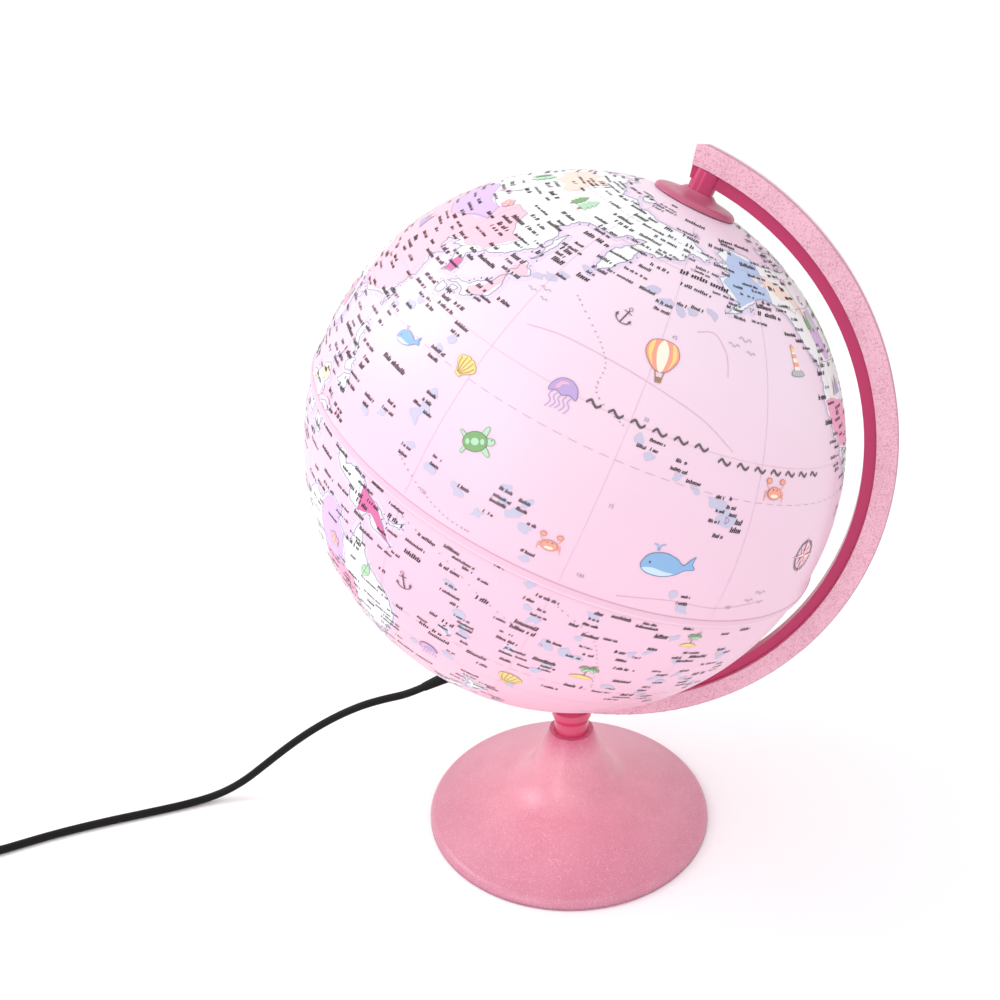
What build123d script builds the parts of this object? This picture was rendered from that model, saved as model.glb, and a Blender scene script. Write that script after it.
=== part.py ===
from build123d import *
import math
import os

os.makedirs("parts", exist_ok=True)

# Desktop globe on a stand, in millimetres and degrees. +Z is up, the table is at z = 0 and the origin is
# the centre of the base's underside. The arm lies in the XZ plane and opens towards -X.

# ---- globe ball ----
ball_radius = 150.0
ball_wall = 1.6
axis_tilt = 23.5
lower_wall = 2.3
seam_lip = 2.5
seam_gap = 0.2
seam_flare_height = 8.0
seam_flare_rise = 1.2
seam_bead_height = 1.5
seam_bead_rise = 1.6
spigot_height = 4.0
spigot_wall = 1.4
spigot_fit = 0.2
spigot_root = 6.0

# ---- base ----
base_radius = 93.0
base_wall = 2.4
rim_lift = 0.5
rim_round = 5.0
rim_corner = 5.0
flare_corner = 26.5
flare_round = 30.0
neck_rise = 36.5
neck_spread = 16.0
lip_height = flare_corner + neck_rise
neck_wall = 3.0
web_depth = 17.0
web_thickness = 4.0
web_top = lip_height - web_depth
web_height = web_top - web_thickness
pad_inset = 5.0
pad_radius = base_radius - pad_inset
pad_thickness = 1.5
floor_thickness = 2.0
floor_inset = 2.0
floor_radius = base_radius - base_wall - floor_inset
ballast_inset = 27.0
ballast_outer = base_radius - ballast_inset
ballast_inner = 24.0
ballast_thickness = 6.0
ballast_fence = 2.0
ballast_fence_height = 4.0
ballast_fit = 0.3
floor_screw_count = 4
floor_screw_inset = 20.0
floor_screw_circle = base_radius - floor_screw_inset
floor_screw_radius = 1.5
floor_screw_head = 2.9
floor_screw_head_height = 1.4
floor_screw_length = 7.5
pillar_radius = 3.5

# ---- neck ----
neck_radius = 11.2
neck_fit = 0.15
neck_top_radius = 12.9
neck_swell_length = 8.0
bolt_radius = 2.5
bolt_fit = 0.25
bolt_head_radius = 4.8
bolt_head_height = 4.5
bolt_socket_radius = 2.2
bolt_socket_depth = 2.5
bolt_engagement = 5.0
washer_radius = 6.5
washer_thickness = 1.2

# ---- arm ----
arm_gap = 9.2
rib_depth = 6.3
band_depth = 11.3
arm_foot = 79.2
arm_inner = ball_radius + arm_gap
arm_joint = arm_inner + rib_depth
arm_outer = arm_joint + band_depth
ball_height = arm_foot + arm_outer
band_width = 11.0
band_round = 1.4
rib_width = 6.5
tongue_width = 3.0
tongue_height = 3.0
tongue_fit = 0.1
arm_overhang = 7.5
arm_end_lean = 11.0
end_chamfer_run = 5.5
end_chamfer_drop = 2.0
lug_radius = 6.0
lug_height = 5.4
band_clearance = 0.1

# ---- north pivot ----
boss_radius = 6.9
boss_stand_off = 5.0
boss_face = ball_radius + boss_stand_off
pin_radius = 3.0
pin_depth = 11.0
pin_reach = ball_radius - pin_depth
pin_chamfer = 0.6
pin_fit = 0.05
bush_radius = 6.0
bush_running_fit = 0.08
bush_fit = 0.1
bush_flange_radius = 11.0
bush_length = 8.0
bush_flange_thickness = 2.4
cap_radius = 22.2
cap_gap = 0.5
cap_neck_radius = 8.0
cap_shoulder_share = 0.56
cap_shoulder_drop = 3.0
cap_rim_thickness = 1.0

# ---- south hub, on which the ball turns ----
hub_radius = 20.5
hub_stand_off = 3.0
hub_height = 17.0
hub_shoulder = ball_radius + hub_stand_off
hub_end = hub_shoulder + hub_height
hub_wall = 4.9
hub_bore = hub_radius - hub_wall
hub_neck_wall = 1.6
hub_neck_radius = hub_bore + hub_neck_wall
hub_neck_length = 10.0
hub_neck_top = hub_shoulder - hub_neck_length
collar_running_fit = 0.08
collar_wall = 3.6
collar_fit = 0.1
collar_flange_width = 6.0
collar_length = 11.5
collar_top = hub_shoulder - collar_length
collar_thrust_gap = 0.3

# ---- lamp ----
sleeve_fit = 0.3
sleeve_wall = 1.5
sleeve_length = 29.0
sleeve_top = hub_end - sleeve_length
lamp_cap_edge_height = 3.5
lamp_cap_dome = 5.5
lamp_cap_edge = hub_end + lamp_cap_edge_height
lamp_cap_end = lamp_cap_edge + lamp_cap_dome
lamp_cap_flat_radius = 11.5
lamp_cap_floor = 1.8
socket_seat_depth = 2.0
socket_seat = lamp_cap_edge - socket_seat_depth
wiring_space_radius = 10.5
cap_screw_circle = hub_radius - hub_wall / 2
cap_screw_radius = 1.2
cap_screw_head = 2.1
cap_screw_head_height = 1.6
cap_screw_length = 8.0
nozzle_start = lamp_cap_edge - 0.5
nozzle_radius = 5.2
nozzle_length = 15.0
nozzle_root = 6.0
nozzle_bore = 3.6
nozzle_fall = 27.0
nozzle_turn = 17.0
socket_fit = 0.1
socket_length = 53.5
socket_top = socket_seat - socket_length
socket_mouth_radius = 12.0
socket_mouth_depth = 10.0
socket_mouth_floor = socket_top + socket_mouth_depth
socket_bore_depth = 30.0
socket_bottom = socket_mouth_floor + socket_bore_depth
thread_shell_radius = 7.1
thread_shell_wall = 0.4
thread_shell_length = 22.0
contact_radius = 3.0
contact_height = 1.8
bulb_gap = 0.2
bulb_tip_radius = 2.4
bulb_tip_wall = 1.0
bulb_tip_length = 1.0
bulb_insulator_length = 2.0
bulb_cap_radius = 6.9
bulb_cap_length = 18.0
bulb_skirt_length = 8.0
bulb_flare_length = 23.0
bulb_seam_radius = 13.0
bulb_radius = 14.4
bulb_wall = 1.0

# ---- cord, in-line switch and plug ----
cord_diameter = 5.2
gland_collar_radius = 5.0
gland_collar_length = 2.0
gland_root_radius = 4.0
gland_tip_radius = 2.9
gland_length = 20.0
gland_barrel_start = 3.0
coil_turn_radius = 39.7
coil_inner_radius = 20.2
coil_layers = 2
switch_heading = 222.0
switch_length = 58.0
switch_width = 22.0
switch_corner = 9.0
switch_split = 6.0
switch_height = 14.0
switch_wall = 1.8
switch_round = 2.5
rocker_length = 18.4
rocker_width = 10.0
rocker_gap = 0.3
rocker_pivot_height = 10.2
rocker_rest_tilt = 9.0
rocker_crown = 3.9
rocker_dip = 3.1
rocker_depth = 1.6
rocker_pin_radius = 1.4
rocker_pin_fit = 0.07
rocker_pin_length = 1.4
rocker_lug_length = 8.0
rocker_lug_width = 2.0
rocker_lug_depth = 4.5
switch_screw_inset = 9.5
switch_screw_radius = 1.1
switch_screw_fit = 0.15
switch_screw_head = 2.1
switch_screw_head_height = 1.5
switch_screw_recess = 0.6
switch_screw_length = 10.0
switch_post_radius = 3.0
plug_heading = 36.0
plug_length = 34.0
plug_width = 27.0
plug_rear_width = 11.0
plug_shoulder = 14.0
plug_height = 13.6
plug_round = 2.4
plug_pin_radius = 2.0
plug_pin_spacing = 19.0
plug_pin_length = 19.0
plug_pin_root = 8.0
plug_pin_tip = 1.0
coil_tail = 22.0
lead_level = 11.0
lead_slope = 12.0
lead_end = 10.0
plug_lead = 12.0
plug_turn = 13.0
switch_from_exit_x = -248.2
switch_from_exit_y = -150.9

# ---- directions and planes shared by several pieces ----
centre = Vector(0, 0, ball_height)
tilt = math.radians(axis_tilt)
north = Vector(math.sin(tilt), 0, math.cos(tilt))
across = Vector(math.cos(tilt), 0, -math.sin(tilt))
polar_axis = Axis(centre, north)
polar_profile = Plane(origin=centre, x_dir=across, z_dir=(0, -1, 0))
polar_section = Plane(origin=centre, x_dir=(0, 1, 0), z_dir=north)
arm_axis = Axis(centre, (0, 1, 0))
cord_radius = cord_diameter / 2


def on_sphere(radius, distance):
    """Height above the equator plane of a sphere's surface, at a distance from the polar axis."""
    return math.sqrt(radius**2 - distance**2)


def finish(builder, name):
    builder.part.label = name
    export_step(builder.part, f"parts/{name}.step")


# ---- base shell: a shallow cone with a round rim that sweeps up into a conical neck ----
neck_outer = neck_radius + neck_fit + neck_wall
flare_radius = neck_outer + neck_spread
slope = math.atan2(flare_corner - rim_corner, base_radius - flare_radius)
lean = math.atan2(neck_spread, neck_rise)
floor_top = pad_thickness + floor_thickness


def base_outline(inset):
    """The rim, cone and neck line of the shell, moved inwards by inset."""
    rim = base_radius - inset
    neck = neck_outer - inset / math.cos(lean)
    corner_shift = inset / (1 + math.sin(slope + lean))
    FilletPolyline(
        (rim, rim_lift),
        (rim, rim_corner + inset * math.tan(slope) - inset / math.cos(slope)),
        (
            flare_radius - corner_shift * (math.sin(slope) + math.cos(lean)),
            flare_corner - corner_shift * (math.cos(slope) + math.sin(lean)),
        ),
        (neck, lip_height),
        radius=[rim_round - inset, flare_round + inset],
    )
    Polyline((neck, lip_height), (0, lip_height), (0, rim_lift), (rim, rim_lift))


with BuildPart() as screw_pillars:
    with BuildSketch(Plane.XY.offset(floor_top)):
        with PolarLocations(floor_screw_circle, floor_screw_count, start_angle=45):
            Circle(pillar_radius)
    extrude(amount=lip_height / 2)
    with BuildSketch(Plane.XZ):
        with BuildLine():
            base_outline(base_wall / 2)
        make_face()
    revolve(axis=Axis.Z, mode=Mode.INTERSECT)

with BuildPart() as base_shell:
    with BuildSketch(Plane.XZ):
        with BuildLine():
            base_outline(0)
        make_face()
    revolve(axis=Axis.Z)
    with BuildSketch(Plane.XZ):
        with BuildLine():
            base_outline(base_wall)
        make_face()
        with Locations((0, (web_height + lip_height) / 2)):
            Rectangle(neck_outer * 2, lip_height - web_height, mode=Mode.SUBTRACT)
    revolve(axis=Axis.Z, mode=Mode.SUBTRACT)
    with BuildSketch(Plane.XY.offset(web_top)):
        Circle(neck_radius + neck_fit)
    extrude(amount=lip_height - web_top, mode=Mode.SUBTRACT)
    with BuildSketch(Plane.XY.offset(web_height)):
        Circle(bolt_radius + bolt_fit)
    extrude(amount=web_thickness, mode=Mode.SUBTRACT)
    add(screw_pillars.part)
    with BuildSketch(Plane.XY.offset(floor_top)):
        with PolarLocations(floor_screw_circle, floor_screw_count, start_angle=45):
            Circle(floor_screw_radius)
    extrude(amount=floor_screw_length - floor_thickness, mode=Mode.SUBTRACT)
finish(base_shell, "base_shell")

# ---- base floor, its pad, screws and the steel ballast ring ----
with BuildPart() as base_floor:
    with BuildSketch(Plane.XY.offset(pad_thickness)):
        Circle(floor_radius)
    extrude(amount=floor_thickness)
    with BuildSketch(Plane.XY.offset(floor_top)):
        Circle(ballast_outer + ballast_fit + ballast_fence)
        Circle(ballast_outer + ballast_fit, mode=Mode.SUBTRACT)
    extrude(amount=ballast_fence_height)
    with Locations(Plane(origin=(0, 0, pad_thickness), z_dir=(0, 0, -1))):
        with PolarLocations(floor_screw_circle, floor_screw_count, start_angle=45):
            CounterSinkHole(
                radius=floor_screw_radius,
                counter_sink_radius=floor_screw_head,
                depth=floor_thickness,
                counter_sink_angle=90,
            )
finish(base_floor, "base_floor")

with BuildPart() as base_pad:
    with BuildSketch():
        Circle(pad_radius)
    extrude(amount=pad_thickness)
finish(base_pad, "base_pad")

with BuildPart() as base_screws:
    for corner in range(floor_screw_count):
        angle = math.radians(45 + corner * 360 / floor_screw_count)
        spot = (floor_screw_circle * math.cos(angle), floor_screw_circle * math.sin(angle))
        head = Plane.XY.offset(pad_thickness)
        with BuildSketch(head):
            with Locations(spot):
                Circle(floor_screw_head)
        extrude(amount=floor_screw_head_height, taper=45)
        with BuildSketch(head):
            with Locations(spot):
                Circle(floor_screw_radius)
        extrude(amount=floor_screw_length)
finish(base_screws, "base_screws")

with BuildPart() as ballast_ring:
    with BuildSketch(Plane.XY.offset(floor_top)):
        Circle(ballast_outer)
        Circle(ballast_inner, mode=Mode.SUBTRACT)
    extrude(amount=ballast_thickness)
finish(ballast_ring, "ballast_ring")

# ---- neck post between base and arm, with its clamping bolt and washer ----
with BuildPart() as neck_post:
    with BuildSketch(Plane.XZ):
        with BuildLine():
            Polyline(
                (bolt_radius + bolt_fit, web_top),
                (neck_radius, web_top),
                (neck_radius, arm_foot - neck_swell_length),
                (neck_top_radius, arm_foot - neck_swell_length / 2),
                (neck_top_radius, arm_foot + neck_top_radius),
                (bolt_radius + bolt_fit, arm_foot + neck_top_radius),
                close=True,
            )
        make_face()
    revolve(axis=Axis.Z)
    with BuildSketch(Plane.XZ):
        with Locations((0, ball_height)):
            Circle(arm_outer)
    extrude(amount=neck_top_radius * 2, both=True, mode=Mode.SUBTRACT)
finish(neck_post, "neck_post")

bolt_seat = web_height - washer_thickness
bolt_tip = ball_height - arm_joint + bolt_engagement
with BuildPart() as neck_washer:
    with BuildSketch(Plane.XY.offset(bolt_seat)):
        Circle(washer_radius)
        Circle(bolt_radius + bolt_fit, mode=Mode.SUBTRACT)
    extrude(amount=washer_thickness)
finish(neck_washer, "neck_washer")

with BuildPart() as neck_bolt:
    with BuildSketch(Plane.XY.offset(bolt_seat - bolt_head_height)):
        Circle(bolt_head_radius)
    extrude(amount=bolt_head_height)
    with BuildSketch(Plane.XY.offset(bolt_seat)):
        Circle(bolt_radius)
    extrude(amount=bolt_tip - bolt_seat)
    with BuildSketch(Plane.XY.offset(bolt_seat - bolt_head_height)):
        RegularPolygon(bolt_socket_radius, 6)
    extrude(amount=bolt_socket_depth, mode=Mode.SUBTRACT)
finish(neck_bolt, "neck_bolt")

# ---- arm: a clear band on a dark core, both swept about the ball's centre ----
sweep_start = 90 - axis_tilt + math.degrees(2 * arm_overhang / arm_inner)
sweep_arc = sweep_start + 90 + axis_tilt
start_angle = math.radians(sweep_start)
start_plane = Plane(
    origin=centre,
    x_dir=(math.cos(start_angle), 0, math.sin(start_angle)),
    z_dir=(-math.sin(start_angle), 0, math.cos(start_angle)),
)
# The arm's north end is one straight cut that leans outwards, with its outer corner taken off.
lean = math.tan(math.radians(arm_end_lean))
end_reach = arm_overhang + (arm_outer - arm_inner) * lean


arm_overtop = arm_outer + arm_overhang
end_offcut = [
    (-arm_overhang, arm_inner - arm_overhang),
    (-arm_overhang, on_sphere(arm_inner, arm_overhang)),
    (-end_reach, on_sphere(arm_outer, end_reach) - end_chamfer_drop),
    (-end_reach + end_chamfer_run, on_sphere(arm_outer, end_reach - end_chamfer_run)),
    (-end_reach + end_chamfer_run, arm_overtop),
    (-3 * end_reach, arm_overtop),
    (-3 * end_reach, arm_inner - arm_overhang),
]

with BuildPart() as arm_core:
    with BuildSketch(start_plane):
        with Locations(((arm_inner + arm_joint) / 2, 0)):
            Rectangle(arm_joint - arm_inner, rib_width)
        with Locations((arm_joint + tongue_height / 2, 0)):
            Rectangle(tongue_height, tongue_width)
    revolve(axis=arm_axis, revolution_arc=sweep_arc)
    with BuildSketch(polar_profile):
        with BuildLine():
            Polyline(*end_offcut, close=True)
        make_face()
    extrude(amount=band_width, both=True, mode=Mode.SUBTRACT)
    with BuildSketch(polar_section.offset(boss_face)):
        Circle(boss_radius)
    extrude(amount=on_sphere(arm_joint, boss_radius) - band_clearance - boss_face)
    lug_seat = on_sphere(arm_joint, lug_radius) - band_clearance
    with BuildSketch(Plane.XY.offset(ball_height - lug_seat)):
        Circle(lug_radius)
    extrude(amount=lug_height)
    with BuildSketch(polar_section.offset(-hub_end - hub_radius)):
        Circle(hub_radius)
    extrude(amount=2 * hub_radius, mode=Mode.SUBTRACT)
    with BuildSketch(polar_section.offset(boss_face)):
        Circle(pin_radius)
    extrude(amount=arm_joint - boss_face, mode=Mode.SUBTRACT)
    with BuildSketch(Plane.XY.offset(ball_height - arm_joint - tongue_height)):
        Circle(bolt_radius)
    extrude(amount=tongue_height + bolt_engagement, mode=Mode.SUBTRACT)
finish(arm_core, "arm_core")

with BuildPart() as arm_band:
    with BuildSketch(start_plane) as band_section:
        with Locations(((arm_joint + arm_outer) / 2, 0)):
            Rectangle(arm_outer - arm_joint, band_width)
        outer_corners = band_section.vertices().group_by(Axis((0, 0, 0), start_plane.x_dir))[-1]
        fillet(outer_corners, band_round)
        with Locations((arm_joint + (tongue_height + tongue_fit) / 2, 0)):
            Rectangle(tongue_height + tongue_fit, tongue_width + 2 * tongue_fit, mode=Mode.SUBTRACT)
    revolve(axis=arm_axis, revolution_arc=sweep_arc)
    with BuildSketch(polar_profile):
        with BuildLine():
            Polyline(*end_offcut, close=True)
        make_face()
    extrude(amount=band_width, both=True, mode=Mode.SUBTRACT)
    with BuildSketch(polar_section.offset(-hub_end - hub_radius)):
        Circle(hub_radius)
    extrude(amount=2 * hub_radius, mode=Mode.SUBTRACT)
    with BuildSketch(Plane.XY.offset(arm_foot)):
        Circle(bolt_radius + bolt_fit)
    extrude(amount=arm_outer - arm_joint + tongue_height, mode=Mode.SUBTRACT)
finish(arm_band, "arm_band")

# ---- south hub on the arm's lower end: a ring with the neck that the ball turns on ----
with BuildPart() as arm_hub:
    with BuildSketch(polar_section.offset(-hub_end)):
        Circle(hub_radius)
        Circle(hub_bore, mode=Mode.SUBTRACT)
    extrude(amount=hub_end - hub_shoulder)
    with BuildSketch(polar_section.offset(-hub_shoulder)):
        Circle(hub_neck_radius)
        Circle(hub_bore, mode=Mode.SUBTRACT)
    extrude(amount=hub_shoulder - hub_neck_top)
    with BuildSketch(polar_section.offset(-hub_end)):
        with Locations((cap_screw_circle, 0), (-cap_screw_circle, 0)):
            Circle(cap_screw_radius)
    extrude(amount=cap_screw_length, mode=Mode.SUBTRACT)
finish(arm_hub, "arm_hub")

# ---- north pivot: pin in the arm, bush in the ball, cap between them ----
pin_end = on_sphere(arm_joint, pin_radius)
with BuildPart() as north_pin:
    with BuildSketch(polar_section.offset(pin_reach)):
        Circle(pin_radius)
    extrude(amount=pin_end - pin_reach)
    chamfer(north_pin.faces().sort_by(polar_axis)[0].edges(), pin_chamfer)
finish(north_pin, "north_pin")

with BuildPart() as pole_cap:
    with BuildSketch(polar_profile):
        with BuildLine():
            cap_underside = ball_radius + cap_gap
            rim_foot = on_sphere(cap_underside, cap_radius)
            cap_shoulder_radius = cap_neck_radius + (cap_radius - cap_neck_radius) * cap_shoulder_share
            Line((pin_radius + pin_fit, boss_face), (cap_neck_radius, boss_face))
            Spline(
                (cap_neck_radius, boss_face),
                (cap_shoulder_radius, boss_face - cap_shoulder_drop),
                (cap_radius, rim_foot + cap_rim_thickness),
                tangents=[(1, -1), (1, -2)],
            )
            Line((cap_radius, rim_foot + cap_rim_thickness), (cap_radius, rim_foot))
            middle = (cap_radius + pin_radius) / 2
            ThreePointArc(
                (cap_radius, rim_foot),
                (middle, on_sphere(cap_underside, middle)),
                (pin_radius + pin_fit, on_sphere(cap_underside, pin_radius + pin_fit)),
            )
            Line(
                (pin_radius + pin_fit, on_sphere(cap_underside, pin_radius + pin_fit)),
                (pin_radius + pin_fit, boss_face),
            )
        make_face()
    revolve(axis=polar_axis)
finish(pole_cap, "pole_cap")

inner_radius = ball_radius - ball_wall
bush_core = bush_radius - bush_fit
bush_bore = pin_radius + bush_running_fit
bush_shoulder = inner_radius - bush_flange_thickness
bush_middle = (bush_core + bush_flange_radius) / 2
with BuildPart() as north_bush:
    with BuildSketch(polar_profile):
        with BuildLine():
            Polyline(
                (bush_core, on_sphere(inner_radius, bush_core)),
                (bush_core, on_sphere(ball_radius, bush_radius)),
                (bush_bore, on_sphere(ball_radius, bush_radius)),
                (bush_bore, inner_radius - bush_length),
                (bush_core, inner_radius - bush_length),
                (bush_core, bush_shoulder),
                (bush_flange_radius, bush_shoulder),
                (bush_flange_radius, on_sphere(inner_radius, bush_flange_radius)),
            )
            ThreePointArc(
                (bush_flange_radius, on_sphere(inner_radius, bush_flange_radius)),
                (bush_middle, on_sphere(inner_radius, bush_middle)),
                (bush_core, on_sphere(inner_radius, bush_core)),
            )
        make_face()
    revolve(axis=polar_axis)
finish(north_bush, "north_bush")

# ---- the two halves of the ball: the upper one's lip hangs over the lower one's spigot ----
with BuildPart() as upper_hemisphere:
    with BuildSketch(polar_profile):
        with BuildLine():
            slant = math.sqrt(0.5)
            outer_top = on_sphere(ball_radius, bush_radius)
            inner_top = on_sphere(inner_radius, bush_radius)
            bead_radius = ball_radius + seam_bead_rise
            flare_radius = ball_radius + seam_flare_rise
            flare_start = on_sphere(ball_radius, seam_flare_height)
            ThreePointArc(
                (bush_radius, outer_top),
                (ball_radius * slant, ball_radius * slant),
                (flare_start, seam_flare_height),
            )
            Polyline(
                (flare_start, seam_flare_height),
                (flare_radius, seam_bead_height),
                (bead_radius, seam_bead_height),
                (bead_radius, -seam_lip),
                (inner_radius, -seam_lip),
                (inner_radius, 0),
            )
            ThreePointArc(
                (inner_radius, 0),
                (inner_radius * slant, inner_radius * slant),
                (bush_radius, inner_top),
            )
            Line((bush_radius, inner_top), (bush_radius, outer_top))
        make_face()
    revolve(axis=polar_axis)
finish(upper_hemisphere, "upper_hemisphere")

lower_inner = ball_radius - lower_wall
collar_bore = hub_neck_radius + collar_running_fit
collar_radius = collar_bore + collar_wall
south_hole = collar_radius + collar_fit
spigot_radius = inner_radius - spigot_fit
lower_edge = -seam_lip - seam_gap
with BuildPart() as lower_hemisphere:
    with BuildSketch(polar_profile):
        with BuildLine():
            ThreePointArc(
                (on_sphere(ball_radius, lower_edge), lower_edge),
                (ball_radius * slant, -ball_radius * slant),
                (south_hole, -on_sphere(ball_radius, south_hole)),
            )
            Line(
                (south_hole, -on_sphere(ball_radius, south_hole)),
                (south_hole, -on_sphere(lower_inner, south_hole)),
            )
            ThreePointArc(
                (south_hole, -on_sphere(lower_inner, south_hole)),
                (lower_inner * slant, -lower_inner * slant),
                (on_sphere(lower_inner, lower_edge), lower_edge),
            )
            Line((on_sphere(lower_inner, lower_edge), lower_edge), (on_sphere(ball_radius, lower_edge), lower_edge))
        make_face()
        spigot_foot = lower_edge - spigot_root
        with Locations((spigot_radius - spigot_wall / 2, (spigot_height + spigot_foot) / 2)):
            Rectangle(spigot_wall, spigot_height - spigot_foot)
    revolve(axis=polar_axis)
finish(lower_hemisphere, "lower_hemisphere")

collar_flange = collar_radius + collar_flange_width
collar_middle = (collar_radius + collar_flange) / 2
collar_end = hub_shoulder - collar_thrust_gap
with BuildPart() as south_collar:
    with BuildSketch(polar_profile):
        with BuildLine():
            Polyline(
                (collar_radius, -on_sphere(lower_inner, collar_radius)),
                (collar_radius, -collar_end),
                (collar_bore, -collar_end),
                (collar_bore, -collar_top),
                (collar_flange, -collar_top),
                (collar_flange, -on_sphere(lower_inner, collar_flange)),
            )
            ThreePointArc(
                (collar_flange, -on_sphere(lower_inner, collar_flange)),
                (collar_middle, -on_sphere(lower_inner, collar_middle)),
                (collar_radius, -on_sphere(lower_inner, collar_radius)),
            )
        make_face()
    revolve(axis=polar_axis)
finish(south_collar, "south_collar")

# ---- lamp cap: closes the hub from below, and its sleeve carries the lamp holder into the ball ----
sleeve_radius = hub_bore - sleeve_fit
socket_radius = sleeve_radius - sleeve_wall - socket_fit
fall = math.radians(nozzle_fall)
turn = math.radians(nozzle_turn)
cord_way = Vector(
    -math.cos(fall) * math.cos(turn),
    -math.cos(fall) * math.sin(turn),
    -math.sin(fall),
)
nozzle_origin = centre - north * nozzle_start
nozzle_plane = Plane(origin=nozzle_origin, z_dir=cord_way)
cap_screw_spots = [(cap_screw_circle, 0), (-cap_screw_circle, 0)]
with BuildPart() as lamp_cap:
    with BuildSketch(polar_profile):
        with BuildLine():
            Polyline(
                (0, -lamp_cap_end),
                (lamp_cap_flat_radius, -lamp_cap_end),
                (hub_radius, -lamp_cap_edge),
                (hub_radius, -hub_end),
                (sleeve_radius, -hub_end),
                (sleeve_radius, -sleeve_top),
                (sleeve_radius - sleeve_wall, -sleeve_top),
                (sleeve_radius - sleeve_wall, -socket_seat),
                (wiring_space_radius, -socket_seat),
                (wiring_space_radius, lamp_cap_floor - lamp_cap_end),
                (0, lamp_cap_floor - lamp_cap_end),
                close=True,
            )
        make_face()
    revolve(axis=polar_axis)
    with BuildSketch(nozzle_plane.offset(nozzle_root)):
        Circle(nozzle_radius)
    extrude(amount=nozzle_length - nozzle_root)
    with BuildSketch(nozzle_plane.offset(gland_barrel_start)):
        Circle(nozzle_bore)
    extrude(amount=nozzle_length - gland_barrel_start, mode=Mode.SUBTRACT)
    with BuildSketch(polar_section.offset(-lamp_cap_end)):
        with Locations(cap_screw_spots):
            Circle(cap_screw_head)
    extrude(amount=lamp_cap_end - lamp_cap_edge, mode=Mode.SUBTRACT)
    with BuildSketch(polar_section.offset(-lamp_cap_edge)):
        with Locations(cap_screw_spots):
            Circle(cap_screw_radius)
    extrude(amount=lamp_cap_edge - hub_end, mode=Mode.SUBTRACT)
finish(lamp_cap, "lamp_cap")

with BuildPart() as cap_screws:
    with BuildSketch(polar_section.offset(-lamp_cap_edge - cap_screw_head_height)):
        with Locations(cap_screw_spots):
            Circle(cap_screw_head)
    extrude(amount=cap_screw_head_height)
    with BuildSketch(polar_section.offset(-lamp_cap_edge)):
        with Locations(cap_screw_spots):
            Circle(cap_screw_radius)
    extrude(amount=lamp_cap_edge - hub_end + cap_screw_length)
finish(cap_screws, "cap_screws")

# ---- lamp holder with its brass shell and contact ----
with BuildPart() as lamp_socket:
    with BuildSketch(polar_section.offset(-socket_seat)):
        Circle(socket_radius)
    extrude(amount=socket_seat - socket_top)
    with BuildSketch(polar_section.offset(-socket_mouth_floor)):
        Circle(socket_mouth_radius)
    extrude(amount=socket_mouth_floor - socket_top, mode=Mode.SUBTRACT)
    with BuildSketch(polar_section.offset(-socket_bottom)):
        Circle(thread_shell_radius + thread_shell_wall)
    extrude(amount=socket_bottom - socket_mouth_floor, mode=Mode.SUBTRACT)
finish(lamp_socket, "lamp_socket")

with BuildPart() as socket_shell:
    with BuildSketch(polar_section.offset(-socket_bottom)):
        Circle(thread_shell_radius + thread_shell_wall)
        Circle(thread_shell_radius, mode=Mode.SUBTRACT)
    extrude(amount=thread_shell_length)
finish(socket_shell, "socket_shell")

with BuildPart() as socket_contact:
    with BuildSketch(polar_section.offset(-socket_bottom)):
        Circle(contact_radius)
    extrude(amount=contact_height)
finish(socket_contact, "socket_contact")

# ---- lamp bulb: screw cap, tip, housing and frosted globe ----
bulb_tip_end = socket_bottom - contact_height - bulb_gap
bulb_insulator_end = bulb_tip_end - bulb_tip_length
bulb_cap_end = bulb_insulator_end - bulb_insulator_length
bulb_cap_top = bulb_cap_end - bulb_cap_length
bulb_flare_start = bulb_cap_top - bulb_skirt_length
bulb_seam = bulb_flare_start - bulb_flare_length
with BuildPart() as bulb_tip:
    with BuildSketch(polar_section.offset(-bulb_tip_end)):
        Circle(bulb_tip_radius)
    extrude(amount=bulb_tip_end - bulb_insulator_end)
finish(bulb_tip, "bulb_tip")

with BuildPart() as bulb_screw_cap:
    with BuildSketch(polar_profile):
        with BuildLine():
            Polyline(
                (0, -bulb_cap_top),
                (bulb_cap_radius, -bulb_cap_top),
                (bulb_cap_radius, -bulb_cap_end),
                (bulb_tip_radius + bulb_tip_wall, -bulb_insulator_end),
                (0, -bulb_insulator_end),
                close=True,
            )
        make_face()
    revolve(axis=polar_axis)
finish(bulb_screw_cap, "bulb_screw_cap")

with BuildPart() as bulb_housing:
    with BuildSketch(polar_profile):
        with BuildLine():
            Line((0, -bulb_cap_top), (bulb_cap_radius, -bulb_cap_top))
            Line((bulb_cap_radius, -bulb_cap_top), (bulb_cap_radius, -bulb_flare_start))
            Spline(
                (bulb_cap_radius, -bulb_flare_start),
                ((bulb_cap_radius + 2 * bulb_seam_radius) / 3, -(bulb_flare_start + bulb_seam) / 2),
                (bulb_seam_radius, -bulb_seam),
                tangents=[(0, 1), (0, 1)],
            )
            Line((bulb_seam_radius, -bulb_seam), (0, -bulb_seam))
            Line((0, -bulb_seam), (0, -bulb_cap_top))
        make_face()
    revolve(axis=polar_axis)
finish(bulb_housing, "bulb_housing")

bulb_centre = bulb_seam - on_sphere(bulb_radius, bulb_seam_radius)
with BuildPart() as bulb_globe:
    with Locations(centre - north * bulb_centre):
        Sphere(bulb_radius)
        Sphere(bulb_radius - bulb_wall, mode=Mode.SUBTRACT)
    with BuildSketch(polar_section.offset(-bulb_seam)):
        Circle(bulb_radius)
    extrude(amount=-bulb_radius, mode=Mode.SUBTRACT)
finish(bulb_globe, "bulb_globe")

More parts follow.
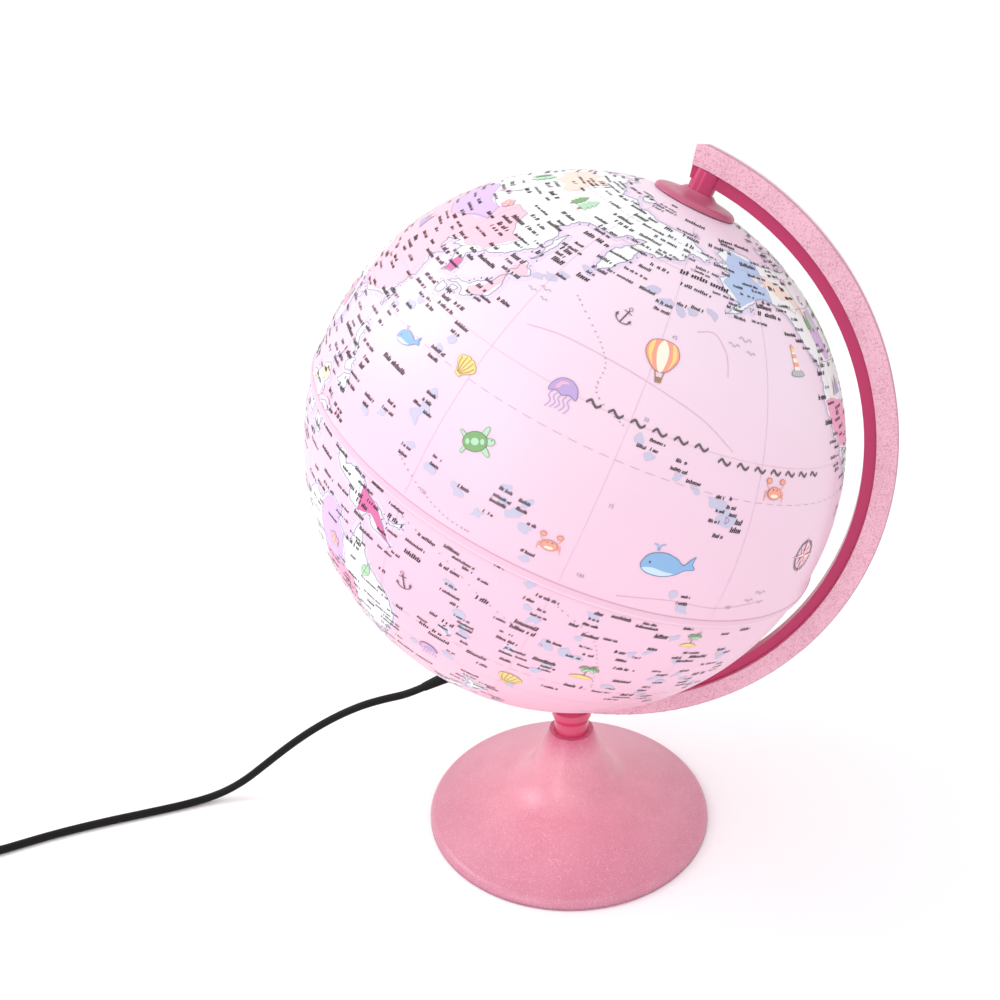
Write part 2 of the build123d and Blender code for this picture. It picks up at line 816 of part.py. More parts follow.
# ---- strain relief: a barrel in the nozzle, a collar and a tapered sleeve ----
gland_tip = nozzle_length + gland_length
with BuildPart() as cord_gland:
    with BuildSketch(nozzle_plane.offset(gland_barrel_start)):
        Circle(nozzle_bore)
    extrude(amount=nozzle_length - gland_barrel_start)
    with BuildSketch(nozzle_plane.offset(nozzle_length)):
        Circle(gland_collar_radius)
    extrude(amount=gland_collar_length)
    with BuildSketch(nozzle_plane.offset(nozzle_length + gland_collar_length)):
        Circle(gland_root_radius)
    with BuildSketch(nozzle_plane.offset(gland_tip)):
        Circle(gland_tip_radius)
    loft()
finish(cord_gland, "cord_gland")

# ---- cord: hand-set route, from the strain relief down to the table and on to switch, coil and plug ----
# Each fall point is its offset from the exit along X and Y, and its share of the drop to the table.
cord_exit = nozzle_origin + cord_way * gland_tip
on_table = cord_radius
heading = math.radians(switch_heading)
forward = Vector(math.cos(heading), math.sin(heading), 0)
rightward = Vector(math.sin(heading), -math.cos(heading), 0)
switch_rear = Vector(cord_exit.X + switch_from_exit_x, cord_exit.Y + switch_from_exit_y, switch_split)
switch_front = switch_rear + forward * switch_length
step_down = Vector(0, 0, on_table - switch_split)
fall_points = [
    (-23.2, -7.9, 0.895),
    (-37.2, -13.9, 0.848),
    (-52.2, -19.9, 0.76),
    (-68.2, -25.9, 0.633),
    (-84.2, -31.9, 0.474),
    (-100.2, -37.4, 0.29),
    (-115.2, -43.4, 0.12),
    (-130.2, -51.4, 0.018),
    (-145.2, -63.4, 0),
    (-163.2, -76.9, 0),
    (-185.2, -92.9, 0),
    (-208.2, -111.9, 0),
]
drop = cord_exit.Z - on_table
route_to_switch = [
    cord_exit,
    cord_exit + cord_way * lead_slope,
    *[Vector(cord_exit.X + x, cord_exit.Y + y, on_table + drop * share) for x, y, share in fall_points],
    switch_rear - forward * (lead_level + lead_slope) + step_down,
    switch_rear - forward * lead_level,
    switch_rear,
]

# The cord reaches the coil's outside along a tangent, winds inwards below and outwards on top, and
# leaves along another tangent. The coil's two straight tails keep the neighbouring stretches clear of it.
tail_start = switch_front + forward * (lead_level + lead_slope + lead_end) + step_down
coil_entry = tail_start + forward * coil_tail
coil_centre = coil_entry + rightward * coil_turn_radius
route_to_coil = [
    switch_front,
    switch_front + forward * lead_level,
    switch_front + forward * (lead_level + lead_slope) + step_down,
    tail_start,
]
exit_way = Vector(1, 1, 0).normalized()
coil_exit = coil_centre + Vector(-1, 1, 0).normalized() * coil_turn_radius
coil_exit = coil_exit + Vector(0, 0, (coil_layers - 1) * cord_diameter)
tail_end = coil_exit + exit_way * coil_tail
plug_angle = math.radians(plug_heading)
plug_way = Vector(math.cos(plug_angle), math.sin(plug_angle), 0)
plug_middle = plug_height / 2
plug_bend = tail_end + exit_way * plug_lead + (exit_way + plug_way).normalized() * plug_turn
plug_bend = Vector(plug_bend.X, plug_bend.Y, plug_middle)
plug_rear = plug_bend + plug_way * plug_lead
route_to_plug = [
    tail_end,
    tail_end + exit_way * plug_lead,
    plug_bend,
    plug_rear,
]


def cord_tube(route):
    """A tube along straight runs joined by the largest tangent arcs that the runs allow."""
    radii = []
    for before, corner, after in zip(route, route[1:], route[2:]):
        run_in = corner - before
        run_out = after - corner
        half_turn = math.radians(run_in.get_angle(run_out)) / 2
        radii.append(0.45 * min(run_in.length, run_out.length) / math.tan(half_turn))
    print("cord arc radii:", [round(radius, 1) for radius in radii])
    with BuildPart() as tube:
        with BuildLine() as path:
            FilletPolyline(*route, radius=radii)
        with BuildSketch(Plane(origin=route[0], z_dir=route[1] - route[0])):
            Circle(cord_radius)
        sweep(path=path.wires()[0])
    length = path.wires()[0].length
    expected = math.pi * cord_radius**2 * length
    print(f"cord stretch {length:.0f} mm, volume over section times length {tube.part.volume / expected:.4f}")
    return tube


cord_to_switch = cord_tube(route_to_switch)
finish(cord_to_switch, "cord_to_switch")
cord_to_coil = cord_tube(route_to_coil)
finish(cord_to_coil, "cord_to_coil")
cord_to_plug = cord_tube(route_to_plug)
finish(cord_to_plug, "cord_to_plug")

with BuildPart() as cord_coil:
    with BuildSketch(Plane.XY):
        with Locations((coil_centre.X, coil_centre.Y)):
            Circle(coil_turn_radius + cord_radius)
            Circle(coil_inner_radius, mode=Mode.SUBTRACT)
    extrude(amount=coil_layers * cord_diameter)
    with BuildSketch(Plane(origin=coil_entry, z_dir=-forward)):
        Circle(cord_radius)
    extrude(amount=coil_tail)
    with BuildSketch(Plane(origin=coil_exit, z_dir=exit_way)):
        Circle(cord_radius)
    extrude(amount=coil_tail)
finish(cord_coil, "cord_coil")

# ---- in-line switch: two half shells, a rocker on its pins and two screws ----
switch_plane = Plane(origin=(switch_rear.X, switch_rear.Y, 0), x_dir=forward, z_dir=(0, 0, 1))
rocker_middle = switch_length / 2
screw_spots = [(switch_screw_inset, 0), (switch_length - switch_screw_inset, 0)]


def switch_half(bottom, top, hollow_bottom, hollow_top):
    """One half shell with its hollow and its two screw posts."""
    with BuildPart() as half:
        with BuildSketch(switch_plane.offset(bottom)):
            with Locations((rocker_middle, 0)):
                RectangleRounded(switch_length, switch_width, switch_corner)
        extrude(amount=top - bottom)
        with BuildSketch(switch_plane.offset(hollow_bottom)):
            with Locations((rocker_middle, 0)):
                RectangleRounded(
                    switch_length - 2 * switch_wall,
                    switch_width - 2 * switch_wall,
                    switch_corner - switch_wall,
                )
        extrude(amount=hollow_top - hollow_bottom, mode=Mode.SUBTRACT)
        with BuildSketch(switch_plane.offset(hollow_bottom)):
            with Locations(screw_spots):
                Circle(switch_post_radius)
        extrude(amount=hollow_top - hollow_bottom)
    return half.part


lower_half = switch_half(0, switch_split, switch_wall, switch_split)
with BuildPart() as switch_base:
    add(lower_half)
    with BuildSketch(switch_plane):
        with Locations(screw_spots):
            Circle(switch_screw_radius + switch_screw_fit)
    extrude(amount=switch_split, mode=Mode.SUBTRACT)
    with BuildSketch(switch_plane):
        with Locations(screw_spots):
            Circle(switch_screw_head + switch_screw_fit)
    extrude(amount=switch_screw_recess + switch_screw_head_height, mode=Mode.SUBTRACT)
finish(switch_base, "switch_base")

rocker_plane = Plane(
    origin=switch_rear + forward * rocker_middle + Vector(0, 0, rocker_pivot_height - switch_split),
    x_dir=forward * math.cos(math.radians(rocker_rest_tilt)) + Vector(0, 0, math.sin(math.radians(rocker_rest_tilt))),
    z_dir=rightward,
)
ceiling = switch_height - switch_wall
lug_offset = (rocker_width + rocker_lug_width) / 2 + rocker_gap
upper_half = switch_half(switch_split, switch_height, switch_split, ceiling)
with BuildPart() as switch_cover:
    add(upper_half)
    top_edges = switch_cover.faces().sort_by(Axis.Z)[-1].outer_wire().edges()
    fillet(top_edges, switch_round)
    with BuildSketch(switch_plane.offset(switch_height)):
        with Locations((rocker_middle, 0)):
            Rectangle(rocker_length + 2 * rocker_gap, rocker_width + 2 * rocker_gap)
    extrude(amount=-switch_wall, mode=Mode.SUBTRACT)
    with BuildSketch(switch_plane.offset(ceiling)):
        with Locations((rocker_middle, lug_offset), (rocker_middle, -lug_offset)):
            Rectangle(rocker_lug_length, rocker_lug_width)
    extrude(amount=-rocker_lug_depth)
    with BuildSketch(rocker_plane):
        Circle(rocker_pin_radius + rocker_pin_fit)
    extrude(amount=lug_offset + rocker_lug_width, both=True, mode=Mode.SUBTRACT)
    with BuildSketch(switch_plane.offset(switch_split)):
        with Locations(screw_spots):
            Circle(switch_screw_radius)
    extrude(amount=switch_screw_length + switch_screw_recess - switch_split, mode=Mode.SUBTRACT)
finish(switch_cover, "switch_cover")

with BuildPart() as switch_rocker:
    with BuildSketch(rocker_plane):
        with BuildLine():
            half = rocker_length / 2
            crown_run = on_sphere(half, rocker_crown)
            heel_run = on_sphere(half, rocker_depth)
            ThreePointArc((heel_run, -rocker_depth), (half, 0), (crown_run, rocker_crown))
            ThreePointArc((crown_run, rocker_crown), (0, rocker_dip), (-crown_run, rocker_crown))
            ThreePointArc((-crown_run, rocker_crown), (-half, 0), (-heel_run, -rocker_depth))
            Line((-heel_run, -rocker_depth), (heel_run, -rocker_depth))
        make_face()
    extrude(amount=rocker_width / 2, both=True)
    with BuildSketch(rocker_plane):
        Circle(rocker_pin_radius)
    extrude(amount=rocker_width / 2 + rocker_pin_length, both=True)
finish(switch_rocker, "switch_rocker")

with BuildPart() as switch_screws:
    with BuildSketch(switch_plane.offset(switch_screw_recess)):
        with Locations(screw_spots):
            Circle(switch_screw_head)
    extrude(amount=switch_screw_head_height)
    with BuildSketch(switch_plane.offset(switch_screw_recess)):
        with Locations(screw_spots):
            Circle(switch_screw_radius)
    extrude(amount=switch_screw_length)
finish(switch_screws, "switch_screws")

# ---- plug: a tapered flat body with two round pins ----
plug_plane = Plane(origin=(plug_rear.X, plug_rear.Y, 0), x_dir=plug_way, z_dir=(0, 0, 1))
pin_plane = Plane(
    origin=plug_rear + plug_way * (plug_length - plug_pin_root),
    x_dir=Vector(0, 0, 1).cross(plug_way),
    z_dir=plug_way,
)
pin_spots = [(plug_pin_spacing / 2, 0), (-plug_pin_spacing / 2, 0)]
with BuildPart() as plug_body:
    with BuildSketch(plug_plane):
        with BuildLine():
            Polyline(
                (0, -plug_rear_width / 2),
                (plug_shoulder, -plug_width / 2),
                (plug_length, -plug_width / 2),
                (plug_length, plug_width / 2),
                (plug_shoulder, plug_width / 2),
                (0, plug_rear_width / 2),
                close=True,
            )
        make_face()
    extrude(amount=plug_height)
    fillet(plug_body.edges().filter_by(Axis.Z), plug_round)
    fillet(plug_body.faces().sort_by(Axis.Z)[-1].edges(), plug_round)
    fillet(plug_body.faces().sort_by(Axis.Z)[0].edges(), plug_round)
    with BuildSketch(pin_plane):
        with Locations(pin_spots):
            Circle(plug_pin_radius)
    extrude(amount=plug_pin_root, mode=Mode.SUBTRACT)
finish(plug_body, "plug_body")

with BuildPart() as plug_pins:
    with BuildSketch(pin_plane):
        with Locations(pin_spots):
            Circle(plug_pin_radius)
    extrude(amount=plug_pin_root + plug_pin_length)
    fillet(plug_pins.faces().sort_by(Axis(plug_rear, plug_way))[-2:].edges(), plug_pin_tip)
finish(plug_pins, "plug_pins")
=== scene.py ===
import math

import bpy
import numpy as np
from mathutils import Matrix, Vector
from mathutils.geometry import delaunay_2d_cdt


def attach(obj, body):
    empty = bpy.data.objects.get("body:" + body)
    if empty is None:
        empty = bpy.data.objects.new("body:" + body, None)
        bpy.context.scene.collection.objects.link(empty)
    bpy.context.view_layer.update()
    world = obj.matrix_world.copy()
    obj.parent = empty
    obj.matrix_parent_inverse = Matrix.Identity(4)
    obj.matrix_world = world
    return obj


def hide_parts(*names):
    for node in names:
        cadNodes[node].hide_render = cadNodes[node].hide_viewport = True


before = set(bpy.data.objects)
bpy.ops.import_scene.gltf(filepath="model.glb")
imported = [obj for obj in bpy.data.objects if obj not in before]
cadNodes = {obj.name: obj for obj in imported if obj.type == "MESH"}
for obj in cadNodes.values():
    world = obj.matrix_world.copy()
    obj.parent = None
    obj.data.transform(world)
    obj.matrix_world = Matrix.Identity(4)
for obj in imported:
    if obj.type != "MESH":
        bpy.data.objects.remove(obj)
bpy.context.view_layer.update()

# Shared frame: +Z up, the arm in the XZ plane on the +X side, the ball's centre above the base.
mm = 0.001
ball = {"centre": np.array((0.0, 0.0, 0.256)), "radius": 150.0, "tilt": math.radians(23.5)}
north = np.array((math.sin(ball["tilt"]), 0.0, math.cos(ball["tilt"])))
across = np.array((math.cos(ball["tilt"]), 0.0, -math.sin(ball["tilt"])))
sideways = np.array((0.0, 1.0, 0.0))

# camera
view = {
    "place": (0.1347, -0.4965, 0.4268),
    "right": (0.96901, 0.24548, 0.0276),
    "up": (-0.11754, 0.35992, 0.92555),
    "back": (0.21727, -0.90011, 0.37762),
    "lens": 33.81,
    "shift": (-0.1, 0.01),
}
camera = bpy.data.objects.new("camera", bpy.data.cameras.new("camera"))
bpy.context.scene.collection.objects.link(camera)
turn = Matrix((view["right"], view["up"], view["back"])).transposed().to_4x4()
camera.matrix_world = Matrix.Translation(view["place"]) @ turn
camera.data.sensor_width = 36.0
camera.data.lens = view["lens"]
camera.data.shift_x, camera.data.shift_y = view["shift"]
camera.data.clip_start = 0.02
bpy.context.scene.camera = camera


# cord: same listed points as the CAD route, then the coil's turns, in one spline
def unit(v):
    v = np.asarray(v, float)
    return v / np.linalg.norm(v)


cordLook = {
    "diameter": 5.2,
    "heading": math.radians(222.0),
    "switchFromExit": (-248.2, -150.9),
    "switchHeight": 6.0,
    "switchLength": 58.0,
    "tail": 22.0,
    "turnRadius": 39.7,
    "innerRadius": 22.3,
    "turnsPerLayer": 3.41,
    "pointsPerTurn": 16,
    "plugHeading": math.radians(36.0),
    "plugMiddle": 6.8,
    "fall": math.radians(27.0),
    "turn": math.radians(17.0),
    "glandTip": 35.0,
    "fallPoints": (
        (-23.2, -7.9, 0.895), (-37.2, -13.9, 0.848), (-52.2, -19.9, 0.76), (-68.2, -25.9, 0.633),
        (-84.2, -31.9, 0.474), (-100.2, -37.4, 0.29), (-115.2, -43.4, 0.12), (-130.2, -51.4, 0.018),
        (-145.2, -63.4, 0), (-163.2, -76.9, 0), (-185.2, -92.9, 0), (-208.2, -111.9, 0),
    ),
}
heading = cordLook["heading"]
forward = np.array((math.cos(heading), math.sin(heading), 0.0))
rightward = np.array((math.sin(heading), -math.cos(heading), 0.0))
cordWay = np.array((
    -math.cos(cordLook["fall"]) * math.cos(cordLook["turn"]),
    -math.cos(cordLook["fall"]) * math.sin(cordLook["turn"]),
    -math.sin(cordLook["fall"]),
))
nozzleStart = ball["centre"] / mm - north * 173.0
cordExit = nozzleStart + cordWay * cordLook["glandTip"]
onTable = cordLook["diameter"] / 2
switchRear = np.array((*(cordExit[:2] + cordLook["switchFromExit"]), cordLook["switchHeight"]))
switchFront = switchRear + forward * cordLook["switchLength"]
stepDown = np.array((0.0, 0.0, onTable - switchRear[2]))
tailStart = switchFront + forward * 33 + stepDown
coilEntry = tailStart + forward * cordLook["tail"]
coilCentre = coilEntry + rightward * cordLook["turnRadius"]
exitWay = unit((1.0, 1.0, 0.0))
coilExit = coilCentre + unit((-1.0, 1.0, 0.0)) * cordLook["turnRadius"] + (0, 0, cordLook["diameter"])
tailEnd = coilExit + exitWay * cordLook["tail"]
plugWay = np.array((math.cos(cordLook["plugHeading"]), math.sin(cordLook["plugHeading"]), 0.0))
plugBend = tailEnd + exitWay * 12 + unit(exitWay + plugWay) * 13
plugBend[2] = cordLook["plugMiddle"]
plugRear = plugBend + plugWay * 12


def coilTurns():
    # points of the wound part: inwards on the lower layer, up, and outwards on the upper one
    first = math.atan2(*(coilEntry - coilCentre)[1::-1])
    last = math.atan2(*(coilExit - coilCentre)[1::-1])
    whole = 2 * cordLook["turnsPerLayer"]
    sweep = whole * 2 * math.pi
    # the total turning has to end at the exit's own angle, going clockwise
    sweep += (first - last - sweep) % (2 * math.pi)
    if sweep - whole * 2 * math.pi > math.pi:
        sweep -= 2 * math.pi
    count = int(sweep / (2 * math.pi) * cordLook["pointsPerTurn"])
    share = np.linspace(0.0, 1.0, count + 1)[1:-1]
    angle = first - sweep * share
    depth = 1 - np.abs(2 * share - 1)
    radius = cordLook["turnRadius"] + (cordLook["innerRadius"] - cordLook["turnRadius"]) * depth
    lift = np.clip((share - 0.5) / 0.07 + 0.5, 0, 1)
    lift = lift * lift * (3 - 2 * lift)
    return np.stack((
        coilCentre[0] + radius * np.cos(angle),
        coilCentre[1] + radius * np.sin(angle),
        onTable + lift * cordLook["diameter"],
    ), 1)


cordPoints = np.concatenate((
    np.array((
        cordExit,
        cordExit + cordWay * 12,
        *[(cordExit[0] + x, cordExit[1] + y, onTable + (cordExit[2] - onTable) * share)
          for x, y, share in cordLook["fallPoints"]],
        switchRear - forward * 23 + stepDown,
        switchRear - forward * 11,
        switchRear,
        switchRear + forward * 10,
        switchRear + forward * 29,
        switchFront - forward * 10,
        switchFront,
        switchFront + forward * 11,
        switchFront + forward * 23 + stepDown,
        tailStart,
        tailStart + forward * 11,
        coilEntry,
    )),
    coilTurns(),
    np.array((
        coilExit,
        coilExit + exitWay * 11,
        tailEnd,
        tailEnd + exitWay * 12,
        plugBend,
        plugRear,
    )),
)) * mm


def splineLength(points):
    # length of the second-degree spline through the middles of the given points' runs
    middles = (points[:-1] + points[1:]) / 2
    middles[0], middles[-1] = points[0], points[-1]
    share = np.linspace(0, 1, 9)[:, None, None]
    start, corner, end = middles[:-1], points[1:-1], middles[1:]
    bends = (1 - share) ** 2 * start + 2 * share * (1 - share) * corner + share ** 2 * end
    return float(np.linalg.norm(np.diff(bends, axis=0), axis=2).sum())


def makeCord(name, points, diameter):
    curve = bpy.data.curves.new(name, "CURVE")
    curve.dimensions = "3D"
    spline = curve.splines.new("NURBS")
    spline.points.add(len(points) - 1)
    spline.points.foreach_set("co", np.c_[points, np.ones(len(points))].ravel())
    spline.order_u = 3
    spline.use_endpoint_u = True
    spline.resolution_u = 5
    curve.bevel_depth = diameter / 2
    curve.bevel_resolution = 5
    curve.use_fill_caps = True
    made = bpy.data.objects.new(name, curve)
    bpy.context.scene.collection.objects.link(made)
    return made


cordLength = splineLength(cordPoints)
print(f"cord: {len(cordPoints)} hand points, {cordLength:.3f} m")


# materials
def newMaterial(name, colour, roughness, **sockets):
    # a plain Principled finish, with any other socket set by its name with underscores for spaces
    made = bpy.data.materials.new(name)
    made.use_nodes = True
    shader = made.node_tree.nodes["Principled BSDF"]
    shader.inputs["Base Color"].default_value = (*colour, 1)
    shader.inputs["Roughness"].default_value = roughness
    for socket, value in sockets.items():
        shader.inputs[socket.replace("_", " ")].default_value = value
    return made


def addNode(material, kind, **settings):
    made = material.node_tree.nodes.new(kind)
    for key, value in settings.items():
        setattr(made, key, value)
    return made


def link(material, start, end):
    material.node_tree.links.new(start, end)


def mathNode(material, operation, first, second=0.5):
    made = addNode(material, "ShaderNodeMath", operation=operation)
    for socket, value in zip(made.inputs, (first, second)):
        if isinstance(value, (int, float)):
            socket.default_value = value
        else:
            link(material, value, socket)
    return made.outputs[0]


def mixNode(material, share, first, second):
    # the second colour laid over the first by a share; either may be a socket or a plain colour
    made = addNode(material, "ShaderNodeMix", data_type="RGBA")
    for socket, value in zip((made.inputs[0], made.inputs[6], made.inputs[7]), (share, first, second)):
        if isinstance(value, tuple):
            socket.default_value = (*value, 1)
        elif isinstance(value, float):
            socket.default_value = value
        else:
            link(material, value, socket)
    return made.outputs[2]


def rampNode(material, factor, stops, interpolation="LINEAR"):
    # a colour ramp with the given (position, colour) stops
    made = addNode(material, "ShaderNodeValToRGB")
    ramp = made.color_ramp
    ramp.interpolation = interpolation
    while len(ramp.elements) < len(stops):
        ramp.elements.new(0.5)
    for element, (position, colour) in zip(ramp.elements, stops):
        element.position = position
        element.color = (*colour, 1)
    link(material, factor, made.inputs["Fac"])
    return made.outputs["Color"]


def noiseNode(material, where, scale, detail):
    made = addNode(material, "ShaderNodeTexNoise")
    made.inputs["Scale"].default_value = scale
    made.inputs["Detail"].default_value = detail
    link(material, where, made.inputs["Vector"])
    return made.outputs["Fac"]


glitter = {
    "coatRoughness": 0.3,
    "cloudScale": 45.0,
    "cloudShare": 0.3,
    "grainShare": 0.7,
    "cellReach": 0.42,
    "fleckShare": 0.7,
    "bandHalfWidth": 0.0044,
    "lipTint": (0.70, 0.11, 0.24),
    "flakeLean": 0.8,
    "flakeRoughness": 0.6,
}


def glitterMaterial(name, look):
    # clear tinted plastic full of fine flakes: each flake sits in its own cell and tips its own way;
    # a few cells are dark flecks; the wall is painted darker near the table as painted shade, and the band's
    # outer edges get painted shade too
    made = newMaterial(name, look["colour"], look["roughness"], Coat_Weight=look["coat"],
                       Coat_Roughness=glitter["coatRoughness"])
    nodes = made.node_tree.nodes
    body = nodes["Principled BSDF"]
    where = addNode(made, "ShaderNodeTexCoord").outputs["Object"]
    cells = addNode(made, "ShaderNodeTexVoronoi", feature="F1")
    cells.inputs["Scale"].default_value = 1 / look["cell"]
    link(made, where, cells.inputs["Vector"])
    cloud = noiseNode(made, where, glitter["cloudScale"], 3.0)
    grain = noiseNode(made, where, look["grain"], 2.0)
    blotch = mathNode(made, "ADD", mathNode(made, "MULTIPLY", cloud, glitter["cloudShare"]),
                      mathNode(made, "MULTIPLY", grain, glitter["grainShare"]))
    tone = rampNode(made, blotch, ((0.41, look["deep"]), (0.56, look["colour"])))
    split = addNode(made, "ShaderNodeSeparateColor")
    link(made, cells.outputs["Color"], split.inputs["Color"])
    near = mathNode(made, "LESS_THAN", cells.outputs["Distance"], glitter["cellReach"])
    fleck = mathNode(made, "MULTIPLY", near, mathNode(made, "GREATER_THAN", split.outputs["Red"],
                                                      1 - look["flecks"]))
    speckled = mixNode(made, mathNode(made, "MULTIPLY", fleck, glitter["fleckShare"]), tone, look["fleck"])
    high = addNode(made, "ShaderNodeSeparateXYZ")
    link(made, where, high.inputs[0])
    if look["edges"]:
        # painted shade on the band's rounded outer edges: where far enough from the ball's centre and from
        # the mid plane, the colour is darkened
        spoke = addNode(made, "ShaderNodeVectorMath", operation="SUBTRACT")
        link(made, where, spoke.inputs[0])
        spoke.inputs[1].default_value = tuple(ball["centre"])
        level = addNode(made, "ShaderNodeVectorMath", operation="MULTIPLY")
        link(made, spoke.outputs[0], level.inputs[0])
        level.inputs[1].default_value = (50.0, 0.0, 50.0)
        reach = addNode(made, "ShaderNodeVectorMath", operation="LENGTH")
        link(made, level.outputs[0], reach.inputs[0])
        edgeShadeMask = rampNode(made, mathNode(made, "SUBTRACT", reach.outputs["Value"], 8.0),
                         ((0.79, (0.0,) * 3), (0.82, (0.75,) * 3)))
        aside = mathNode(made, "GREATER_THAN", mathNode(made, "ABSOLUTE", high.outputs["Y"]),
                         glitter["bandHalfWidth"])
        speckled = mixNode(made, mathNode(made, "MULTIPLY", edgeShadeMask, aside), speckled, look["rim"])
    # painted shade near the table: the colour darkens towards the foot, darkest in a thin line at the very
    # bottom
    footShadeAndLip = rampNode(made, mathNode(made, "MULTIPLY", high.outputs["Z"], 20.0),
                     ((0.028, (0.95,) * 3), (0.05, (0.55,) * 3), (0.12, (0.40,) * 3), (0.46, (0.0,) * 3)))
    footShaded = mixNode(made, mathNode(made, "MULTIPLY", footShadeAndLip, look["footShadeAndLip"]), speckled, look["rim"])
    # the clear lip lets the post's colour through
    sheer = rampNode(made, mathNode(made, "MULTIPLY", high.outputs["Z"], 16.0),
                     ((0.80, (0.0,) * 3), (0.90, (0.35,) * 3), (1.0, (0.9,) * 3)))
    tinted = mixNode(made, mathNode(made, "MULTIPLY", sheer, look["footShadeAndLip"]), footShaded, glitter["lipTint"])
    link(made, tinted, body.inputs["Base Color"])
    shown = mathNode(made, "MULTIPLY", near, mathNode(made, "LESS_THAN", split.outputs["Red"],
                                                      look["flakes"]))
    tipped = addNode(made, "ShaderNodeVectorMath", operation="MULTIPLY_ADD")
    link(made, cells.outputs["Color"], tipped.inputs[0])
    tipped.inputs[1].default_value = (glitter["flakeLean"],) * 3
    tipped.inputs[2].default_value = (-glitter["flakeLean"] / 2,) * 3
    normal = addNode(made, "ShaderNodeNewGeometry")
    leaning = addNode(made, "ShaderNodeVectorMath", operation="ADD")
    link(made, tipped.outputs[0], leaning.inputs[0])
    link(made, normal.outputs["Normal"], leaning.inputs[1])
    even = addNode(made, "ShaderNodeVectorMath", operation="NORMALIZE")
    link(made, leaning.outputs[0], even.inputs[0])
    metal = addNode(made, "ShaderNodeBsdfPrincipled")
    metal.inputs["Base Color"].default_value = (*look["flake"], 1)
    metal.inputs["Metallic"].default_value = 1.0
    metal.inputs["Roughness"].default_value = glitter["flakeRoughness"]
    link(made, even.outputs[0], metal.inputs["Normal"])
    glow = addNode(made, "ShaderNodeBsdfTranslucent")
    link(made, tinted, glow.inputs["Color"])
    softened = addNode(made, "ShaderNodeMixShader")
    softened.inputs["Fac"].default_value = look["through"]
    link(made, body.outputs[0], softened.inputs[1])
    link(made, glow.outputs[0], softened.inputs[2])
    both = addNode(made, "ShaderNodeMixShader")
    link(made, shown, both.inputs["Fac"])
    link(made, softened.outputs[0], both.inputs[1])
    link(made, metal.outputs[0], both.inputs[2])
    link(made, both.outputs[0], nodes["Material Output"].inputs["Surface"])
    return made


baseLook = {
    "colour": (0.90, 0.385, 0.485), "deep": (0.80, 0.295, 0.395), "rim": (0.46, 0.15, 0.25),
    "flake": (0.98, 0.68, 0.76),
    "fleck": (0.66, 0.24, 0.35), "cell": 0.00036, "grain": 2100.0, "flakes": 0.09, "flecks": 0.08,
    "roughness": 0.34, "coat": 0.4, "through": 0.18, "footShadeAndLip": 1.0, "edges": False,
}
bandLook = {
    "colour": (0.90, 0.53, 0.64), "deep": (0.77, 0.40, 0.52), "rim": (0.42, 0.20, 0.28),
    "flake": (0.95, 0.70, 0.78),
    "fleck": (0.54, 0.20, 0.32), "cell": 0.0009, "grain": 1200.0, "flakes": 0.0, "flecks": 0.22,
    "roughness": 0.34, "coat": 0.15, "through": 0.18, "footShadeAndLip": 0.0, "edges": True,
}
baseGlitter = glitterMaterial("baseGlitter", baseLook)
bandGlitter = glitterMaterial("bandGlitter", bandLook)
magenta = newMaterial("magentaPlastic", (0.47, 0.028, 0.12), 0.22, Specular_IOR_Level=0.35)
postPlastic = newMaterial("postPlastic", (0.62, 0.05, 0.14), 0.14, Coat_Weight=0.4, Coat_Roughness=0.05)
capClear = newMaterial("capPlastic", (0.46, 0.10, 0.18), 0.36, Specular_IOR_Level=0.35)
whitePlastic = newMaterial("whitePlastic", (0.82, 0.80, 0.80), 0.45)
padFoam = newMaterial("padFoam", (0.02, 0.015, 0.02), 0.9)
floorPink = newMaterial("floorPlastic", (0.62, 0.24, 0.32), 0.5)
zinc = newMaterial("zinc", (0.55, 0.55, 0.57), 0.35, Metallic=1.0)
darkSteel = newMaterial("darkSteel", (0.22, 0.22, 0.23), 0.4, Metallic=1.0)
brass = newMaterial("brass", (0.68, 0.48, 0.2), 0.3, Metallic=1.0)
aluminium = newMaterial("aluminium", (0.72, 0.72, 0.74), 0.35, Metallic=1.0)
frosted = newMaterial("frostedBulb", (0.9, 0.89, 0.86), 0.5)
blackCord = newMaterial("blackSheath", (0.002, 0.002, 0.002), 0.5, Specular_IOR_Level=0.18)
blackPlastic = newMaterial("blackPlastic", (0.005, 0.005, 0.006), 0.4, Specular_IOR_Level=0.3)
nickel = newMaterial("nickel", (0.66, 0.63, 0.55), 0.25, Metallic=1.0)

cadFinish = {
    "base_shell": baseGlitter, "base_floor": floorPink, "base_pad": padFoam, "base_screws": zinc,
    "ballast_ring": floorPink, "neck_post": postPlastic, "neck_bolt": darkSteel, "neck_washer": zinc,
    "arm_core": magenta, "arm_hub": magenta, "arm_band": bandGlitter, "north_pin": zinc,
    "pole_cap": capClear, "north_bush": whitePlastic, "south_collar": whitePlastic,
    "lamp_cap": magenta, "cap_screws": darkSteel, "lamp_socket": whitePlastic,
    "socket_shell": brass, "socket_contact": brass, "bulb_tip": nickel, "bulb_screw_cap": aluminium,
    "bulb_housing": whitePlastic, "bulb_globe": frosted, "cord_gland": blackCord,
    "switch_base": blackPlastic, "switch_cover": blackPlastic, "switch_rocker": blackPlastic,
    "switch_screws": darkSteel, "plug_body": blackPlastic, "plug_pins": nickel,
}
for name, finish in cadFinish.items():
    cadNodes[name].data.materials.clear()
    cadNodes[name].data.materials.append(finish)
print("finishes assigned to", len(cadFinish), "CAD nodes")

cord = makeCord("lamp_cord", cordPoints, cordLook["diameter"] * mm)
cord.data.materials.append(blackCord)
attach(cord, "stand")
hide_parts("cord_to_switch", "cord_to_coil", "cord_coil", "cord_to_plug")


